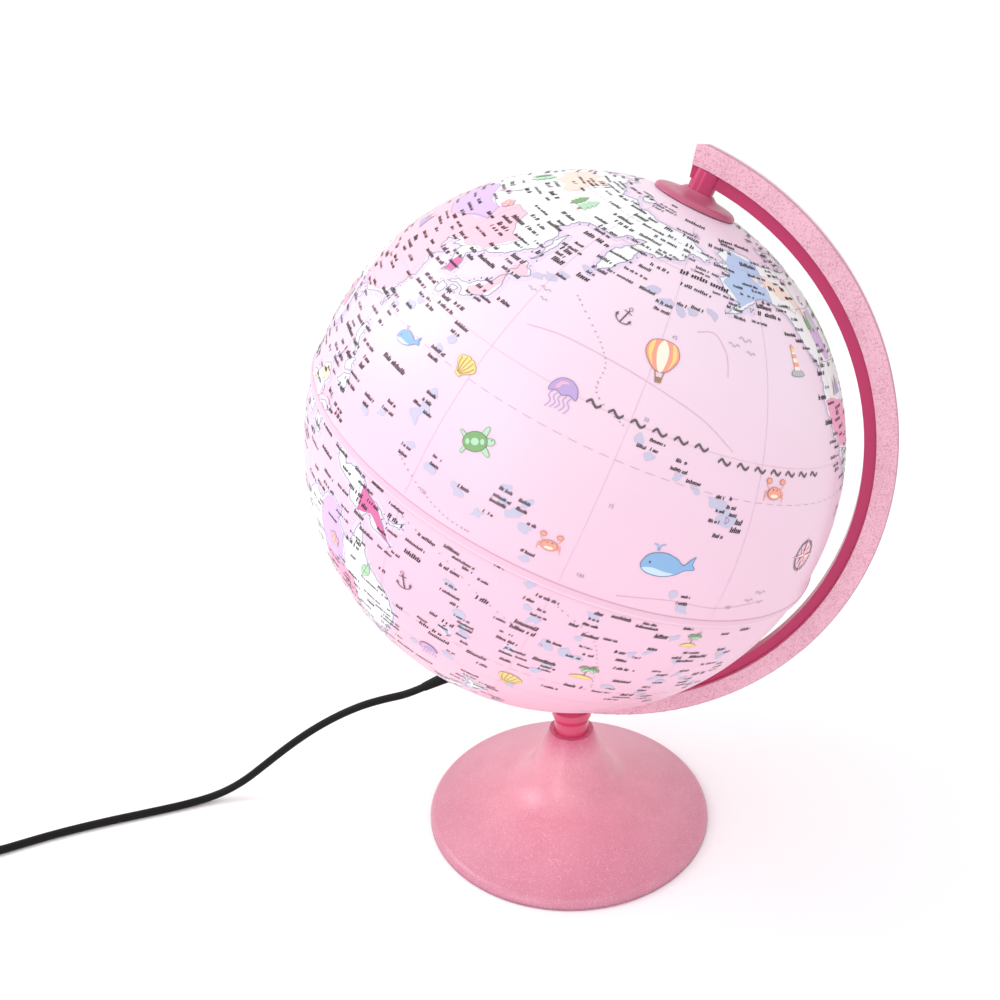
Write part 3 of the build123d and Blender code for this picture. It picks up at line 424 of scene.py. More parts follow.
def makeMesh(name, vertices, faces, smooth=True, material=None):
    # a mesh from whole arrays: vertices (n, 3) and faces (m, 3 or 4)
    mesh = bpy.data.meshes.new(name)
    vertices = np.asarray(vertices, np.float32)
    faces = np.asarray(faces, np.int32)
    corners = faces.shape[1]
    mesh.vertices.add(len(vertices))
    mesh.vertices.foreach_set("co", vertices.ravel())
    mesh.loops.add(faces.size)
    mesh.loops.foreach_set("vertex_index", faces.ravel())
    mesh.polygons.add(len(faces))
    mesh.polygons.foreach_set("loop_start", np.arange(0, faces.size, corners, dtype=np.int32))
    mesh.polygons.foreach_set("use_smooth", np.full(len(faces), smooth))
    mesh.update(calc_edges=True)
    mesh.validate()
    if material:
        mesh.materials.append(material)
    made = bpy.data.objects.new(name, mesh)
    bpy.context.scene.collection.objects.link(made)
    return made


# ball: two halves turned from profiles, with the raised seam between them
def turned(name, profile, segments, material, axis=north, middle=ball["centre"], side=across):
    # a closed profile (distance from the axis, height along it), in mm, turned once about the axis
    profile = np.asarray(profile, float) * mm
    angle = np.linspace(0, 2 * np.pi, segments, endpoint=False)
    other = np.cross(axis, side)
    ring = np.cos(angle)[:, None] * side + np.sin(angle)[:, None] * other
    points = middle + ring[:, None, :] * profile[None, :, :1] + axis * profile[None, :, 1:]
    count = len(profile)
    i, j = np.meshgrid(np.arange(segments), np.arange(count), indexing="ij")
    ni, nj = (i + 1) % segments, (j + 1) % count
    quads = np.stack((i * count + j, ni * count + j, ni * count + nj, i * count + nj), -1).reshape(-1, 4)
    return makeMesh(name, points.reshape(-1, 3), quads, True, material)


def arcProfile(radius, start, end, count):
    # points on a circle about the ball's centre, from one latitude to another, in degrees
    angle = np.radians(np.linspace(start, end, count))
    return np.stack((radius * np.cos(angle), radius * np.sin(angle)), 1)


# the seam: the upper half flares out to a raised lip that laps over the lower half's spigot
seam = {"flareTop": 8.6, "north": 6.0,
        "south": 20.98}
upperProfile = np.concatenate((
    arcProfile(ball["radius"], math.degrees(math.asin(seam["flareTop"] / ball["radius"])),
               math.degrees(math.acos(seam["north"] / ball["radius"])), 90),
    arcProfile(148.4, math.degrees(math.acos(seam["north"] / 148.4)), 0, 60),
    ((148.4, -2.3), (148.5, -2.5), (151.25, -2.5), (151.48, -2.44), (151.59, -2.28), (151.6, -2.05),
     (151.6, -1.0), (151.6, 0.0), (151.6, 0.9), (151.59, 1.2), (151.5, 1.42), (151.34, 1.52), (151.21, 1.6),
     (151.12, 1.9),
     (150.87, 3.0), (150.55, 4.5), (150.22, 6.0), (149.97, 7.3)),
))
lowerProfile = np.concatenate((
    arcProfile(ball["radius"], -math.degrees(math.acos(seam["south"] / ball["radius"])), -1.13, 90),
    ((149.88, -2.76), (149.6, -2.7), (148.2, -2.7), (148.2, 4.0), (146.8, 4.0), (146.8, -8.7)),
    arcProfile(147.7, -3.38, -math.degrees(math.acos(seam["south"] / 147.7)), 60),
))


def oceanMaterial():
    # printed plastic: soft pink sea under a satin varnish, painted paler towards the north and pinker towards
    # the south as painted light from above
    made = newMaterial("oceanPrint", (0.80, 0.50, 0.62), 0.45, Coat_Weight=0.6, Coat_Roughness=0.45)
    shader = made.node_tree.nodes["Principled BSDF"]
    where = addNode(made, "ShaderNodeTexCoord").outputs["Object"]
    offset = addNode(made, "ShaderNodeVectorMath", operation="SUBTRACT")
    link(made, where, offset.inputs[0])
    offset.inputs[1].default_value = tuple(ball["centre"])
    height = addNode(made, "ShaderNodeVectorMath", operation="DOT_PRODUCT")
    link(made, offset.outputs[0], height.inputs[0])
    height.inputs[1].default_value = tuple(north / 0.15)
    level = mathNode(made, "MULTIPLY_ADD", height.outputs["Value"], 0.5)
    level.node.inputs[2].default_value = 0.5
    cloud = addNode(made, "ShaderNodeTexNoise")
    cloud.inputs["Scale"].default_value = 14.0
    cloud.inputs["Detail"].default_value = 2.0
    link(made, where, cloud.inputs["Vector"])
    stirred = mathNode(made, "ADD", level, mathNode(made, "MULTIPLY", cloud.outputs["Fac"], 0.16))
    # painted light: paler high up and pinker low down, so the top of the ball looks lit
    tone = rampNode(made, stirred, (
        (0.12, (0.87, 0.48, 0.60)), (0.45, (0.81, 0.49, 0.635)), (0.72, (0.78, 0.54, 0.665)),
        (1.0, (0.79, 0.63, 0.74)),
    ))
    # painted shade in the seam: darker pink in the creases just under the lip and just above the bead; the
    # faint pinker share over the lip band is the unprinted bead's own tint
    belt = mathNode(made, "MULTIPLY_ADD", height.outputs["Value"], 150 / 8)
    belt.node.inputs[2].default_value = 0.5
    creaseShadeAndBeadTint = rampNode(made, belt, ((0.065, (0.0,) * 3), (0.09, (0.9,) * 3), (0.18, (0.9,) * 3),
                                    (0.205, (0.15,) * 3),
                                    (0.66, (0.22,) * 3), (0.695, (0.75,) * 3), (0.75, (0.0,) * 3)))
    seamShadedAndTinted = mixNode(made, creaseShadeAndBeadTint, tone, (0.50, 0.22, 0.34))
    # painted highlight: a pale line along the lip's lower edge
    edge = rampNode(made, belt, ((0.205, (0.0,) * 3), (0.22, (0.3,) * 3), (0.27, (0.3,) * 3),
                                 (0.32, (0.0,) * 3)))
    lipHighlighted = mixNode(made, edge, seamShadedAndTinted, (0.93, 0.80, 0.87))
    link(made, lipHighlighted, shader.inputs["Base Color"])
    return made


oceanPrint = oceanMaterial()
upperHalf = turned("ball_upper", upperProfile, 256, oceanPrint)
lowerHalf = turned("ball_lower", lowerProfile, 256, oceanPrint)
for made, node in ((upperHalf, "upper_hemisphere"), (lowerHalf, "lower_hemisphere")):
    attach(made, "globe")
    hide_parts(node)
print("ball turned")

# printed map: real coasts by longitude and latitude, as thin ink meshes just above the ball
lonStart = 103.3
inkLayers = {"land": 0.05, "tint": 0.10, "lines": 0.13, "water": 0.17, "edge": 0.20, "label": 0.22,
             "motif": 0.25}


def ballPoint(lon, lat, lift):
    # places on the ball's skin by longitude and latitude in degrees, lifted off it by lift mm
    turnAngle, rise = np.radians(np.asarray(lon, float) + lonStart), np.radians(np.asarray(lat, float))
    level = ball["radius"] * np.sin(rise)
    radius = np.interp(level, (-2.75, -2.6, 1.5, 1.6, 8.0), (150.0, 151.6, 151.6, 151.2, 150.0)) + lift
    radius = radius[..., None] * mm
    flat = np.cos(turnAngle)[..., None] * across + np.sin(turnAngle)[..., None] * sideways
    return ball["centre"] + radius * (np.cos(rise)[..., None] * flat + np.sin(rise)[..., None] * north)


def direction(lon, lat):
    # unit directions in the map's own frame: x at longitude 0, z at the north pole
    lon, lat = np.radians(lon), np.radians(lat)
    return np.stack((np.cos(lat) * np.cos(lon), np.cos(lat) * np.sin(lon), np.sin(lat)), -1)


def localFrame(lon, lat):
    # outward, east and north directions at one place of the map
    out = direction(lon, lat)
    east = np.array((-math.sin(math.radians(lon)), math.cos(math.radians(lon)), 0.0))
    return out, east, np.cross(out, east)


def flatten(points, where):
    # longitudes and latitudes to flat mm about a place, keeping distance and bearing from it
    out, east, up = localFrame(*where)
    d = direction(points[:, 0], points[:, 1])
    reach = np.arccos(np.clip(d @ out, -1, 1)) * ball["radius"]
    x, y = d @ east, d @ up
    scale = reach / np.maximum(np.hypot(x, y), 1e-12)
    return np.stack((x * scale, y * scale), 1)


def unflatten(flat, where):
    # the way back: flat mm about a place to longitude and latitude
    out, east, up = localFrame(*where)
    reach = np.hypot(flat[:, 0], flat[:, 1])
    bearing = flat / np.maximum(reach, 1e-12)[:, None]
    angle = (reach / ball["radius"])[:, None]
    d = np.cos(angle) * out + np.sin(angle) * (bearing[:, :1] * east + bearing[:, 1:] * up)
    return np.stack((np.degrees(np.arctan2(d[:, 1], d[:, 0])),
                     np.degrees(np.arcsin(np.clip(d[:, 2], -1, 1)))), 1)


def insideOf(points, outline):
    # true for the points inside a closed flat outline, by counting crossings
    x, y = points[:, None, 0], points[:, None, 1]
    ax, ay = outline[:, 0], outline[:, 1]
    bx, by = np.roll(ax, -1), np.roll(ay, -1)
    rise = np.where(by == ay, 1e-12, by - ay)
    crossed = ((ay > y) != (by > y)) & (x < (bx - ax) * (y - ay) / rise + ax)
    return crossed.sum(1) % 2 == 1


class Ink:
    # collects triangles with a colour each, for one printed mesh

    def __init__(self):
        self.points, self.faces, self.colours, self.count = [], [], [], 0

    def add(self, points, faces, colour):
        self.points.append(points)
        self.faces.append(np.asarray(faces, int).reshape(-1, 3) + self.count)
        self.colours.append(np.broadcast_to(np.asarray(colour, float), (len(points), 3)))
        self.count += len(points)

    def build(self, name, material):
        made = makeMesh(name, np.concatenate(self.points), np.concatenate(self.faces), True, material)
        ink = made.data.color_attributes.new("ink", "FLOAT_COLOR", "POINT")
        colours = np.concatenate(self.colours)
        ink.data.foreach_set("color", np.c_[colours, np.ones(len(colours))].astype(np.float32).ravel())
        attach(made, "globe")
        print(name, len(made.data.polygons), "triangles")
        return made


def roughen(outline, passes, amount, seed):
    # adds points between an outline's corners, each pushed aside by a share of the run it halves
    rng = np.random.default_rng(seed)
    for _ in range(passes):
        following = np.roll(outline, -1, 0)
        run = following - outline
        widen = np.cos(np.radians(outline[:, 1]))[:, None]
        aside = np.stack((-run[:, 1], run[:, 0] * widen[:, 0]), 1)
        aside[:, 0] /= np.maximum(widen[:, 0], 0.2)
        middle = outline + run / 2 + aside * rng.normal(0, amount, (len(outline), 1))
        outline = np.stack((outline, middle), 1).reshape(-1, 2)
    return outline


def fillShape(ink, outline, lift, colour, spacing=4.0, where=None):
    # fills a closed outline of longitudes and latitudes, split at the ball's seam
    for low, high in ((0.66, 90.0), (-90.0, -1.14)):
        clipped = np.clip(outline[:, 1], low, high) != outline[:, 1]
        if clipped.all():
            continue
        kept = ~clipped | ~np.roll(clipped, 1) | ~np.roll(clipped, -1)
        part = np.stack((outline[kept, 0], np.clip(outline[kept, 1], low, high)), 1)
        middle = where or tuple(unflatten(np.zeros((1, 2)), meanPlace(part))[0])
        flat = flatten(part, middle)
        start, end = flat.min(0), flat.max(0)
        gx, gy = np.meshgrid(np.arange(start[0], end[0], spacing), np.arange(start[1], end[1], spacing))
        grid = np.stack((gx.ravel(), gy.ravel()), 1)
        grid = grid[insideOf(grid, flat)] if len(grid) else grid
        everything = np.concatenate((flat, grid))
        vertices, _, faces, *_ = delaunay_2d_cdt(
            [Vector(p) for p in everything.tolist()], [], [list(range(len(flat)))], 1, 1e-5)
        if not faces:
            continue
        placed = unflatten(np.array([v[:] for v in vertices]), middle)
        placed[:, 1] = np.clip(placed[:, 1], low, high)
        corners = np.array([f for f in faces if len(f) == 3], int)
        points = ballPoint(placed[:, 0], placed[:, 1], lift)
        a, b, c = (points[corners[:, k]] for k in range(3))
        inward = np.einsum("ij,ij->i", np.cross(b - a, c - a), (a + b + c) / 3 - ball["centre"]) < 0
        corners[inward] = corners[inward][:, ::-1]
        ink.add(points, corners, colour)


def meanPlace(points):
    middle = direction(points[:, 0], points[:, 1]).mean(0)
    middle /= np.linalg.norm(middle)
    return math.degrees(math.atan2(middle[1], middle[0])), math.degrees(math.asin(middle[2]))


def drawLine(ink, path, width, lift, colour, closed=False, skipSeam=True, shift=0.0):
    # a ribbon of one width along a path of longitudes and latitudes; it stops at the ball's seam;
    # shift moves it to the left of the way it runs, in mm
    points = ballPoint(path[:, 0], path[:, 1], lift)
    out = points - ball["centre"]
    out /= np.linalg.norm(out, axis=1)[:, None]
    if closed:
        along = np.roll(points, -1, 0) - np.roll(points, 1, 0)
    else:
        along = np.gradient(points, axis=0)
    side = np.cross(out, along)
    side /= np.maximum(np.linalg.norm(side, axis=1), 1e-12)[:, None]
    both = np.stack((points + side * ((shift - width / 2) * mm),
                     points + side * ((shift + width / 2) * mm)), 1)
    both = both.reshape(-1, 3)
    i = np.arange(len(path) if closed else len(path) - 1)
    j = (i + 1) % len(path)
    if skipSeam:
        clear = (path[:, 1] > 0.66) | (path[:, 1] < -1.14)
        keep = clear[i] & clear[j]
        i, j = i[keep], j[keep]
    if len(i) == 0:
        return
    quads = np.stack((2 * i, 2 * j, 2 * j + 1, 2 * i, 2 * j + 1, 2 * i + 1), 1).reshape(-1, 3)
    ink.add(both, quads, colour)


def pairs(*numbers):
    return np.array(numbers, float).reshape(-1, 2)


coasts = {
    "eurasia": (0.10, pairs(
        190, 66, 187, 64.5, 182, 65.3, 179, 62.6, 174, 61.6, 170, 60, 164, 59.8, 163, 57.8, 162.5, 56, 160,
        53,
        156.8, 51, 155.7, 54, 156.5, 57.5, 161, 60.3, 163.5, 62.5, 160, 61.8, 156, 61.5, 154, 59.5, 149, 59.5,
        143, 59.3, 140, 57.8, 137, 54.3, 141, 53, 140.5, 50, 140.3, 48, 138, 46.5, 135.5, 44, 133, 42.8,
        130.8, 42.3, 129.7, 41, 127.5, 39.6, 129.4, 37, 129.3, 35.4, 126.6, 34.4, 126.4, 37, 125, 38, 124.5,
        40,
        121.5, 39, 122, 40.5, 118, 39.2, 119, 37.3, 122.5, 37, 119.3, 35, 121, 32.5, 122, 30.5, 121, 28,
        119.5, 25.5, 117, 23.5, 114, 22.4, 110.5, 21.2, 108.5, 21.6, 106.5, 20, 106, 18.5, 108.5, 15.5,
        109.3, 12.5, 107, 10.4, 105, 8.7, 104.8, 10.3, 102.5, 12, 101, 13.4, 100, 13.2, 99.3, 10, 100.5, 7,
        103.4, 4, 104.2, 1.5, 103.3, 1.6, 101, 3.2, 100.3, 6, 98.4, 8, 98.6, 12, 97.6, 16.5, 95.5, 15.8,
        94.3, 16, 94.5, 18.5, 92, 21.5, 90.5, 22.5, 88, 21.7, 86.8, 20.3, 82.5, 16.7, 80.2, 15.5, 80.2, 13,
        79.8, 10.3, 78, 8.2, 76.4, 9.8, 74.5, 13.5, 73, 17, 72.7, 21, 70.5, 20.8, 69, 22.3, 67, 24.8,
        61.6, 25.2, 57, 26.8, 54, 26.6, 51.5, 28, 50, 30, 48, 30, 48.5, 28.2, 50.2, 26.5, 51.5, 25.5,
        54.3, 24.2, 56.3, 26, 57, 24, 59.8, 22.5, 57.7, 19, 55, 17, 52, 15.6, 45, 12.8, 43.5, 12.7,
        42.8, 15.5, 39.2, 20.8, 37, 25, 34.8, 29, 34.3, 31.3, 35.8, 35.5, 36, 36.8, 32.5, 36, 30.5, 36.5,
        27.4, 37, 26.3, 39.3, 28.8, 40.6, 31.5, 41.3, 35, 42, 38, 41, 41.5, 41.6, 39, 44, 37.3, 45.3,
        39, 47.2, 35.2, 46.2, 36.4, 45.3, 33.6, 44.5, 32.7, 46, 30.8, 46.5, 29.7, 45, 28, 43.3, 28.2, 41.6,
        26.4, 40.3, 24, 40.8, 23, 40.4, 24, 38, 22.8, 36.6, 21.3, 37.5, 19.4, 40.3, 19.5, 42, 16, 43.6,
        13.8, 45.2, 12.5, 45.4, 12.5, 44, 14, 42.5, 16, 41.6, 18.3, 40, 16.9, 40.3, 16, 38, 15.7, 40,
        12.5, 41.6, 10.3, 43.5, 8.8, 44.4, 6.5, 43.2, 3.3, 43.2, 3, 41.7, 0, 39.6, -0.6, 37.8, -2.2, 36.8,
        -5.5, 36, -6.4, 37, -9, 37, -9.4, 38.8, -8.8, 42, -9.2, 43.1, -4, 43.5, -1.6, 43.5, -1.2, 46,
        -4.5, 48, -1.6, 48.7, -1.5, 49.7, 1.5, 50.4, 3.5, 51.5, 5, 53, 8.5, 53.7, 8.2, 56.5, 10.5, 57.6,
        10.9, 56, 9.8, 54.8, 12, 54.2, 14.3, 54, 18.5, 54.6, 21, 55.3, 21.2, 57.3, 24, 57.3, 23.5, 59.1,
        28, 59.6, 30, 60, 24.5, 60, 21.5, 61, 21.5, 63, 25, 65, 22, 65.7, 17.5, 62, 17.8, 60.6, 18.8, 59.6,
        16.5, 57.5, 14.2, 55.5, 12.7, 56.2, 11, 59, 8, 58.2, 5.5, 59, 5, 61.8, 9.5, 63.8, 13.5, 67,
        18, 69.5, 25.5, 71, 31, 70.3, 40, 67.5, 40, 66.3, 34, 66.7, 35, 64.3, 38, 64, 40.5, 65, 43.5, 66.3,
        46, 68, 54, 68.5, 60, 69, 66, 69, 68, 71.5, 73, 72.8, 73, 68, 78, 72, 87, 75, 98, 76.3, 104, 77.6,
        113, 74, 127, 73, 131, 71, 140, 72.5, 152, 71, 160, 69.7, 170, 69.5, 180, 69)),
    "africa": (0.08, pairs(
        -5.9, 35.8, -2, 35.2, 3, 36.8, 10, 37.3, 11, 34, 15, 32.3, 20, 31, 20, 32.8, 25, 31.6, 30, 31.4,
        32.5, 31, 32.5, 29.8, 35.5, 24, 37.3, 21, 38.5, 18, 43, 12.2, 43.5, 11.5, 51.2, 11.8, 48, 4.5,
        42, -1.5, 39.2, -5, 40.5, -11, 40.5, -15, 35, -20, 35.5, -24, 32.7, -26, 32.5, -28.5, 28, -33,
        25.5, -34, 20, -34.8, 18.3, -34, 18.2, -31.8, 15, -26.5, 14.3, -22, 11.8, -17, 13.7, -11, 12.2, -6,
        8.9, -1, 9.5, 4, 5.8, 4.4, 4, 6.4, -2, 4.8, -7.6, 4.4, -13, 8.5, -17, 14.7, -16.2, 19, -17, 21,
        -14.8, 25.5, -10, 29.5, -9.6, 31.5)),
    "northAmerica": (0.10, pairs(
        -168, 65.7, -162, 66.5, -166.5, 68.3, -156.5, 71.3, -141, 69.7, -128, 70, -115, 68.2, -108, 68,
        -96, 68, -94, 71.5, -88, 68.5, -82, 69.5, -86, 66.5, -93.5, 61.5, -94.5, 59, -92.5, 57, -82.5, 55.2,
        -82, 53, -79, 51.3, -79, 54.5, -77, 57.5, -78, 62.3, -70, 61, -65, 59, -61.5, 57, -56, 52.5,
        -60, 50.3, -66.5, 50, -64.5, 48.8, -65, 47, -61, 45.5, -66, 43.6, -67, 45, -70.5, 43.3, -70, 41.7,
        -74, 40.5, -75.5, 37.5, -76, 35, -81, 31.5, -80, 27, -80.5, 25.3, -82, 27.5, -83.5, 29.8, -89.5, 30.2,
        -94, 29.5, -97.3, 27.5, -97.8, 22.5, -95.5, 18.8, -91, 18.7, -90.3, 21, -87, 21.4, -88.3, 17.5,
        -88.7, 15.8, -83.3, 15, -83.7, 11, -81, 8.8, -77.5, 8.7, -79.5, 8.3, -80.2, 7.4, -83, 8.4, -85.7, 10,
        -87.6, 13, -92, 14.5, -95, 16.1, -100, 17, -105.3, 20, -105.5, 22.8, -109.5, 26, -112.5, 30,
        -114.7, 31.7, -112.5, 27.5, -109.6, 23, -112.2, 26, -115, 28.5, -117, 32.5, -120.6, 34.6,
        -122.4, 37.3, -124.3, 40.4, -124, 46, -122.5, 48.5, -127.5, 51, -130.5, 54.5, -134, 58, -139.5, 59.7,
        -146, 60.8, -151, 59.4, -153.5, 58.5, -158, 56.2, -164, 54.7, -158, 58, -162, 59, -164.8, 60.8,
        -166, 62, -161, 64.3)),
    "southAmerica": (0.08, pairs(
        -77.5, 8.5, -75, 11, -71.8, 12.3, -67, 10.6, -62, 10.6, -57, 6, -51.5, 4.2, -50, 0, -48.5, -1.2,
        -44, -2.6, -39, -3.3, -35.2, -5.3, -35, -8.5, -39, -13, -39.2, -18, -41.5, -22, -45, -23.5,
        -48.5, -26.5, -52.5, -33, -54.9, -34.9, -57.5, -34.3, -57, -36.5, -62, -39, -65, -41, -64.5, -42.8,
        -67.5, -46, -66, -48, -69, -51, -68.3, -53.5, -65.5, -54.8, -70, -55.3, -74.5, -51.5, -75.3, -47,
        -73.5, -41.5, -73.5, -37, -71.5, -31, -70.3, -22, -70.5, -18.3, -76, -14, -79.3, -8, -81.2, -5.5,
        -80, -2.8, -80.3, 0, -77.8, 3.5)),
    "australia": (0.10, pairs(
        142.5, -10.8, 143.8, -14.3, 146, -18.5, 149, -20.5, 153, -25.5, 153.5, -28.5, 151.5, -33, 150, -37.3,
        146.3, -39, 143.5, -38.8, 140, -37.5, 138, -35.5, 137.8, -32.8, 135.5, -34.8, 131.5, -31.5,
        125, -32.5, 120, -34, 115.2, -34.3, 115.7, -31.5, 113.4, -26, 114, -22, 117.5, -20.6, 121.5, -19,
        122.3, -17, 126, -14, 129, -15, 130.7, -12.5, 132.7, -11.2, 136.8, -12, 135.6, -14.8, 139.5, -17.5,
        141, -16.8, 141.6, -13)),
    "greenland": (0.10, pairs(
        -73, 78, -60, 82, -35, 83.5, -20, 81.5, -18, 77, -22, 72, -24, 70, -33, 68, -40, 65, -43, 60,
        -48, 61, -52, 65, -54, 70, -60, 76)),
}
islands = [
    pairs(141, 41.4, 142, 39.5, 140.8, 35.8, 138.5, 34.7, 136, 33.5, 135, 34.6, 131, 34, 132.5, 35.5, 136, 36,
          137, 37.4, 139.5, 38.5, 140, 40.5),
    pairs(140, 41.6, 143.3, 42, 145.5, 43.4, 143, 44.5, 141.7, 45.4, 141.5, 43.3),
    pairs(130, 33.5, 131.9, 33.2, 131.3, 31.4, 130.2, 31.3, 129.8, 32.8),
    pairs(132.5, 33.8, 134.5, 34.2, 134, 33.3, 132.8, 32.8),
    pairs(142.7, 54.3, 143.5, 50, 143, 47, 142, 46.1, 142, 50, 142.2, 53),
    pairs(121.5, 25.2, 121, 22.2, 120.2, 23.5),
    pairs(110, 20, 110.8, 19.2, 109, 18.3, 108.7, 19.3),
    pairs(120.5, 18.3, 122.2, 18.3, 121.7, 15.5, 124, 13, 121, 13.8, 120, 15.5),
    pairs(122.2, 7, 123.5, 8.6, 125.5, 9.7, 126.4, 7.5, 125.5, 5.8, 124, 6.8),
    pairs(123, 11.5, 125, 12.4, 125.2, 10.3, 123.3, 9.4, 122.2, 10.6),
    pairs(117.2, 8.4, 119.5, 11.2, 118.2, 9),
    pairs(109.2, 1.8, 111.5, 2.5, 114, 4.6, 116.8, 7, 119, 5, 117.5, 3.3, 118.8, 1, 116.3, -1, 116.2, -3.9,
          114.5, -3.8, 111.5, -3.3, 109.8, -1),
    pairs(95.3, 5.6, 98, 4.2, 100.5, 2.2, 103.5, -1, 106, -3, 105.7, -5.8, 103.5, -4.7, 100.8, -2, 98.8, 1.6,
          96.5, 3.8),
    pairs(105.3, -6.7, 108.5, -6.6, 112.5, -6.9, 114.4, -8.5, 110, -8.1, 106.5, -7.4),
    pairs(119.5, -3.5, 119, -0.5, 120.5, 1.2, 125, 1.6, 123.5, 0.5, 120.3, 0.4, 121.2, -1, 123.3, -0.9,
          121.7, -2, 122.7, -4.6, 121.5, -4.7, 120.5, -2.8, 120.3, -5.5, 119.5, -5.5),
    pairs(131, -1.3, 134.2, -1.2, 135, -3.3, 138, -1.7, 141, -2.6, 145.5, -4.8, 147.7, -6, 147, -6.7,
          150.7, -10.5, 147.3, -9.6, 144.5, -7.6, 142.5, -9.2, 138.5, -8.3, 138, -5.5, 133, -4, 132.2, -2.7),
    pairs(148.5, -5.7, 152, -4.2, 151.5, -5.8, 149, -6.3),
    pairs(172.8, -34.5, 175.5, -36.5, 178.4, -37.7, 177, -39.5, 175.2, -41.5, 173.8, -39.4, 174.8, -37.5),
    pairs(172.7, -40.6, 174.3, -41.7, 172.8, -43.8, 170.7, -45.9, 168.5, -46.6, 166.6, -45.8, 170, -43),
    pairs(144.8, -40.8, 148.2, -40.9, 148, -43, 146.5, -43.6, 145.3, -42.4),
    pairs(80, 9.7, 81.8, 7.5, 80.6, 6, 79.8, 7.8),
    pairs(49.3, -12.1, 50.4, -15.6, 47.5, -24.8, 45, -25.4, 43.5, -22.5, 44.4, -17, 46.5, -15.5),
    pairs(-5.7, 50.1, 0.5, 50.8, 1.5, 52.7, -1.5, 55, -2, 57.6, -4, 58.6, -6, 57, -4.8, 54.6, -3, 53.6,
          -4.8, 52.8, -4, 51.5),
    pairs(-6, 52.2, -10, 51.7, -9.8, 54, -7, 55.2, -5.8, 54.3),
    pairs(-22.5, 64, -18.5, 63.5, -14, 64.8, -16, 66.4, -20.5, 66, -24, 65.5),
    pairs(12, 79, 20, 80.3, 26, 79.8, 17, 76.8),
    pairs(52, 71, 56, 73.5, 67, 76.8, 60, 75.5, 55, 71),
    pairs(-59, 47.7, -55.5, 51.4, -53, 47.3),
    pairs(-84.8, 22, -80.5, 23.1, -74.3, 20.2, -77.5, 19.9, -80, 21.8),
    pairs(-74.3, 18.5, -72.5, 19.8, -68.5, 18.6, -71.5, 17.8),
    pairs(-64, 67, -70, 70.5, -85, 73.5, -88, 71, -78, 70, -73, 67.5, -77, 65, -66, 62.5),
    pairs(-105, 73, -117, 73, -115, 69.2, -102, 69.2),
    pairs(-90, 76.5, -80, 76.3, -63, 82.5, -90, 81.5),
    pairs(-125, 72.5, -124, 74.3, -117, 73.5, -121, 71.5),
    pairs(-128, 50.8, -123.5, 48.4, -125.5, 48.8),
    pairs(-156, 20.2, -155, 19.6, -155.8, 19),
    pairs(-61, -51.5, -58, -51.6, -59.5, -52.3),
    pairs(-154, 57.8, -152.3, 57.9, -153.8, 56.9),
    pairs(165.8, -20.4, 167, -22.3, 164.3, -20.6),
    pairs(177.4, -17.4, 178.6, -17.6, 178, -18.2),
    pairs(180, 71.5, 183, 71.2, 181, 70.8),
    pairs(138, 76, 150, 75.3, 143, 73.5, 139, 74),
]
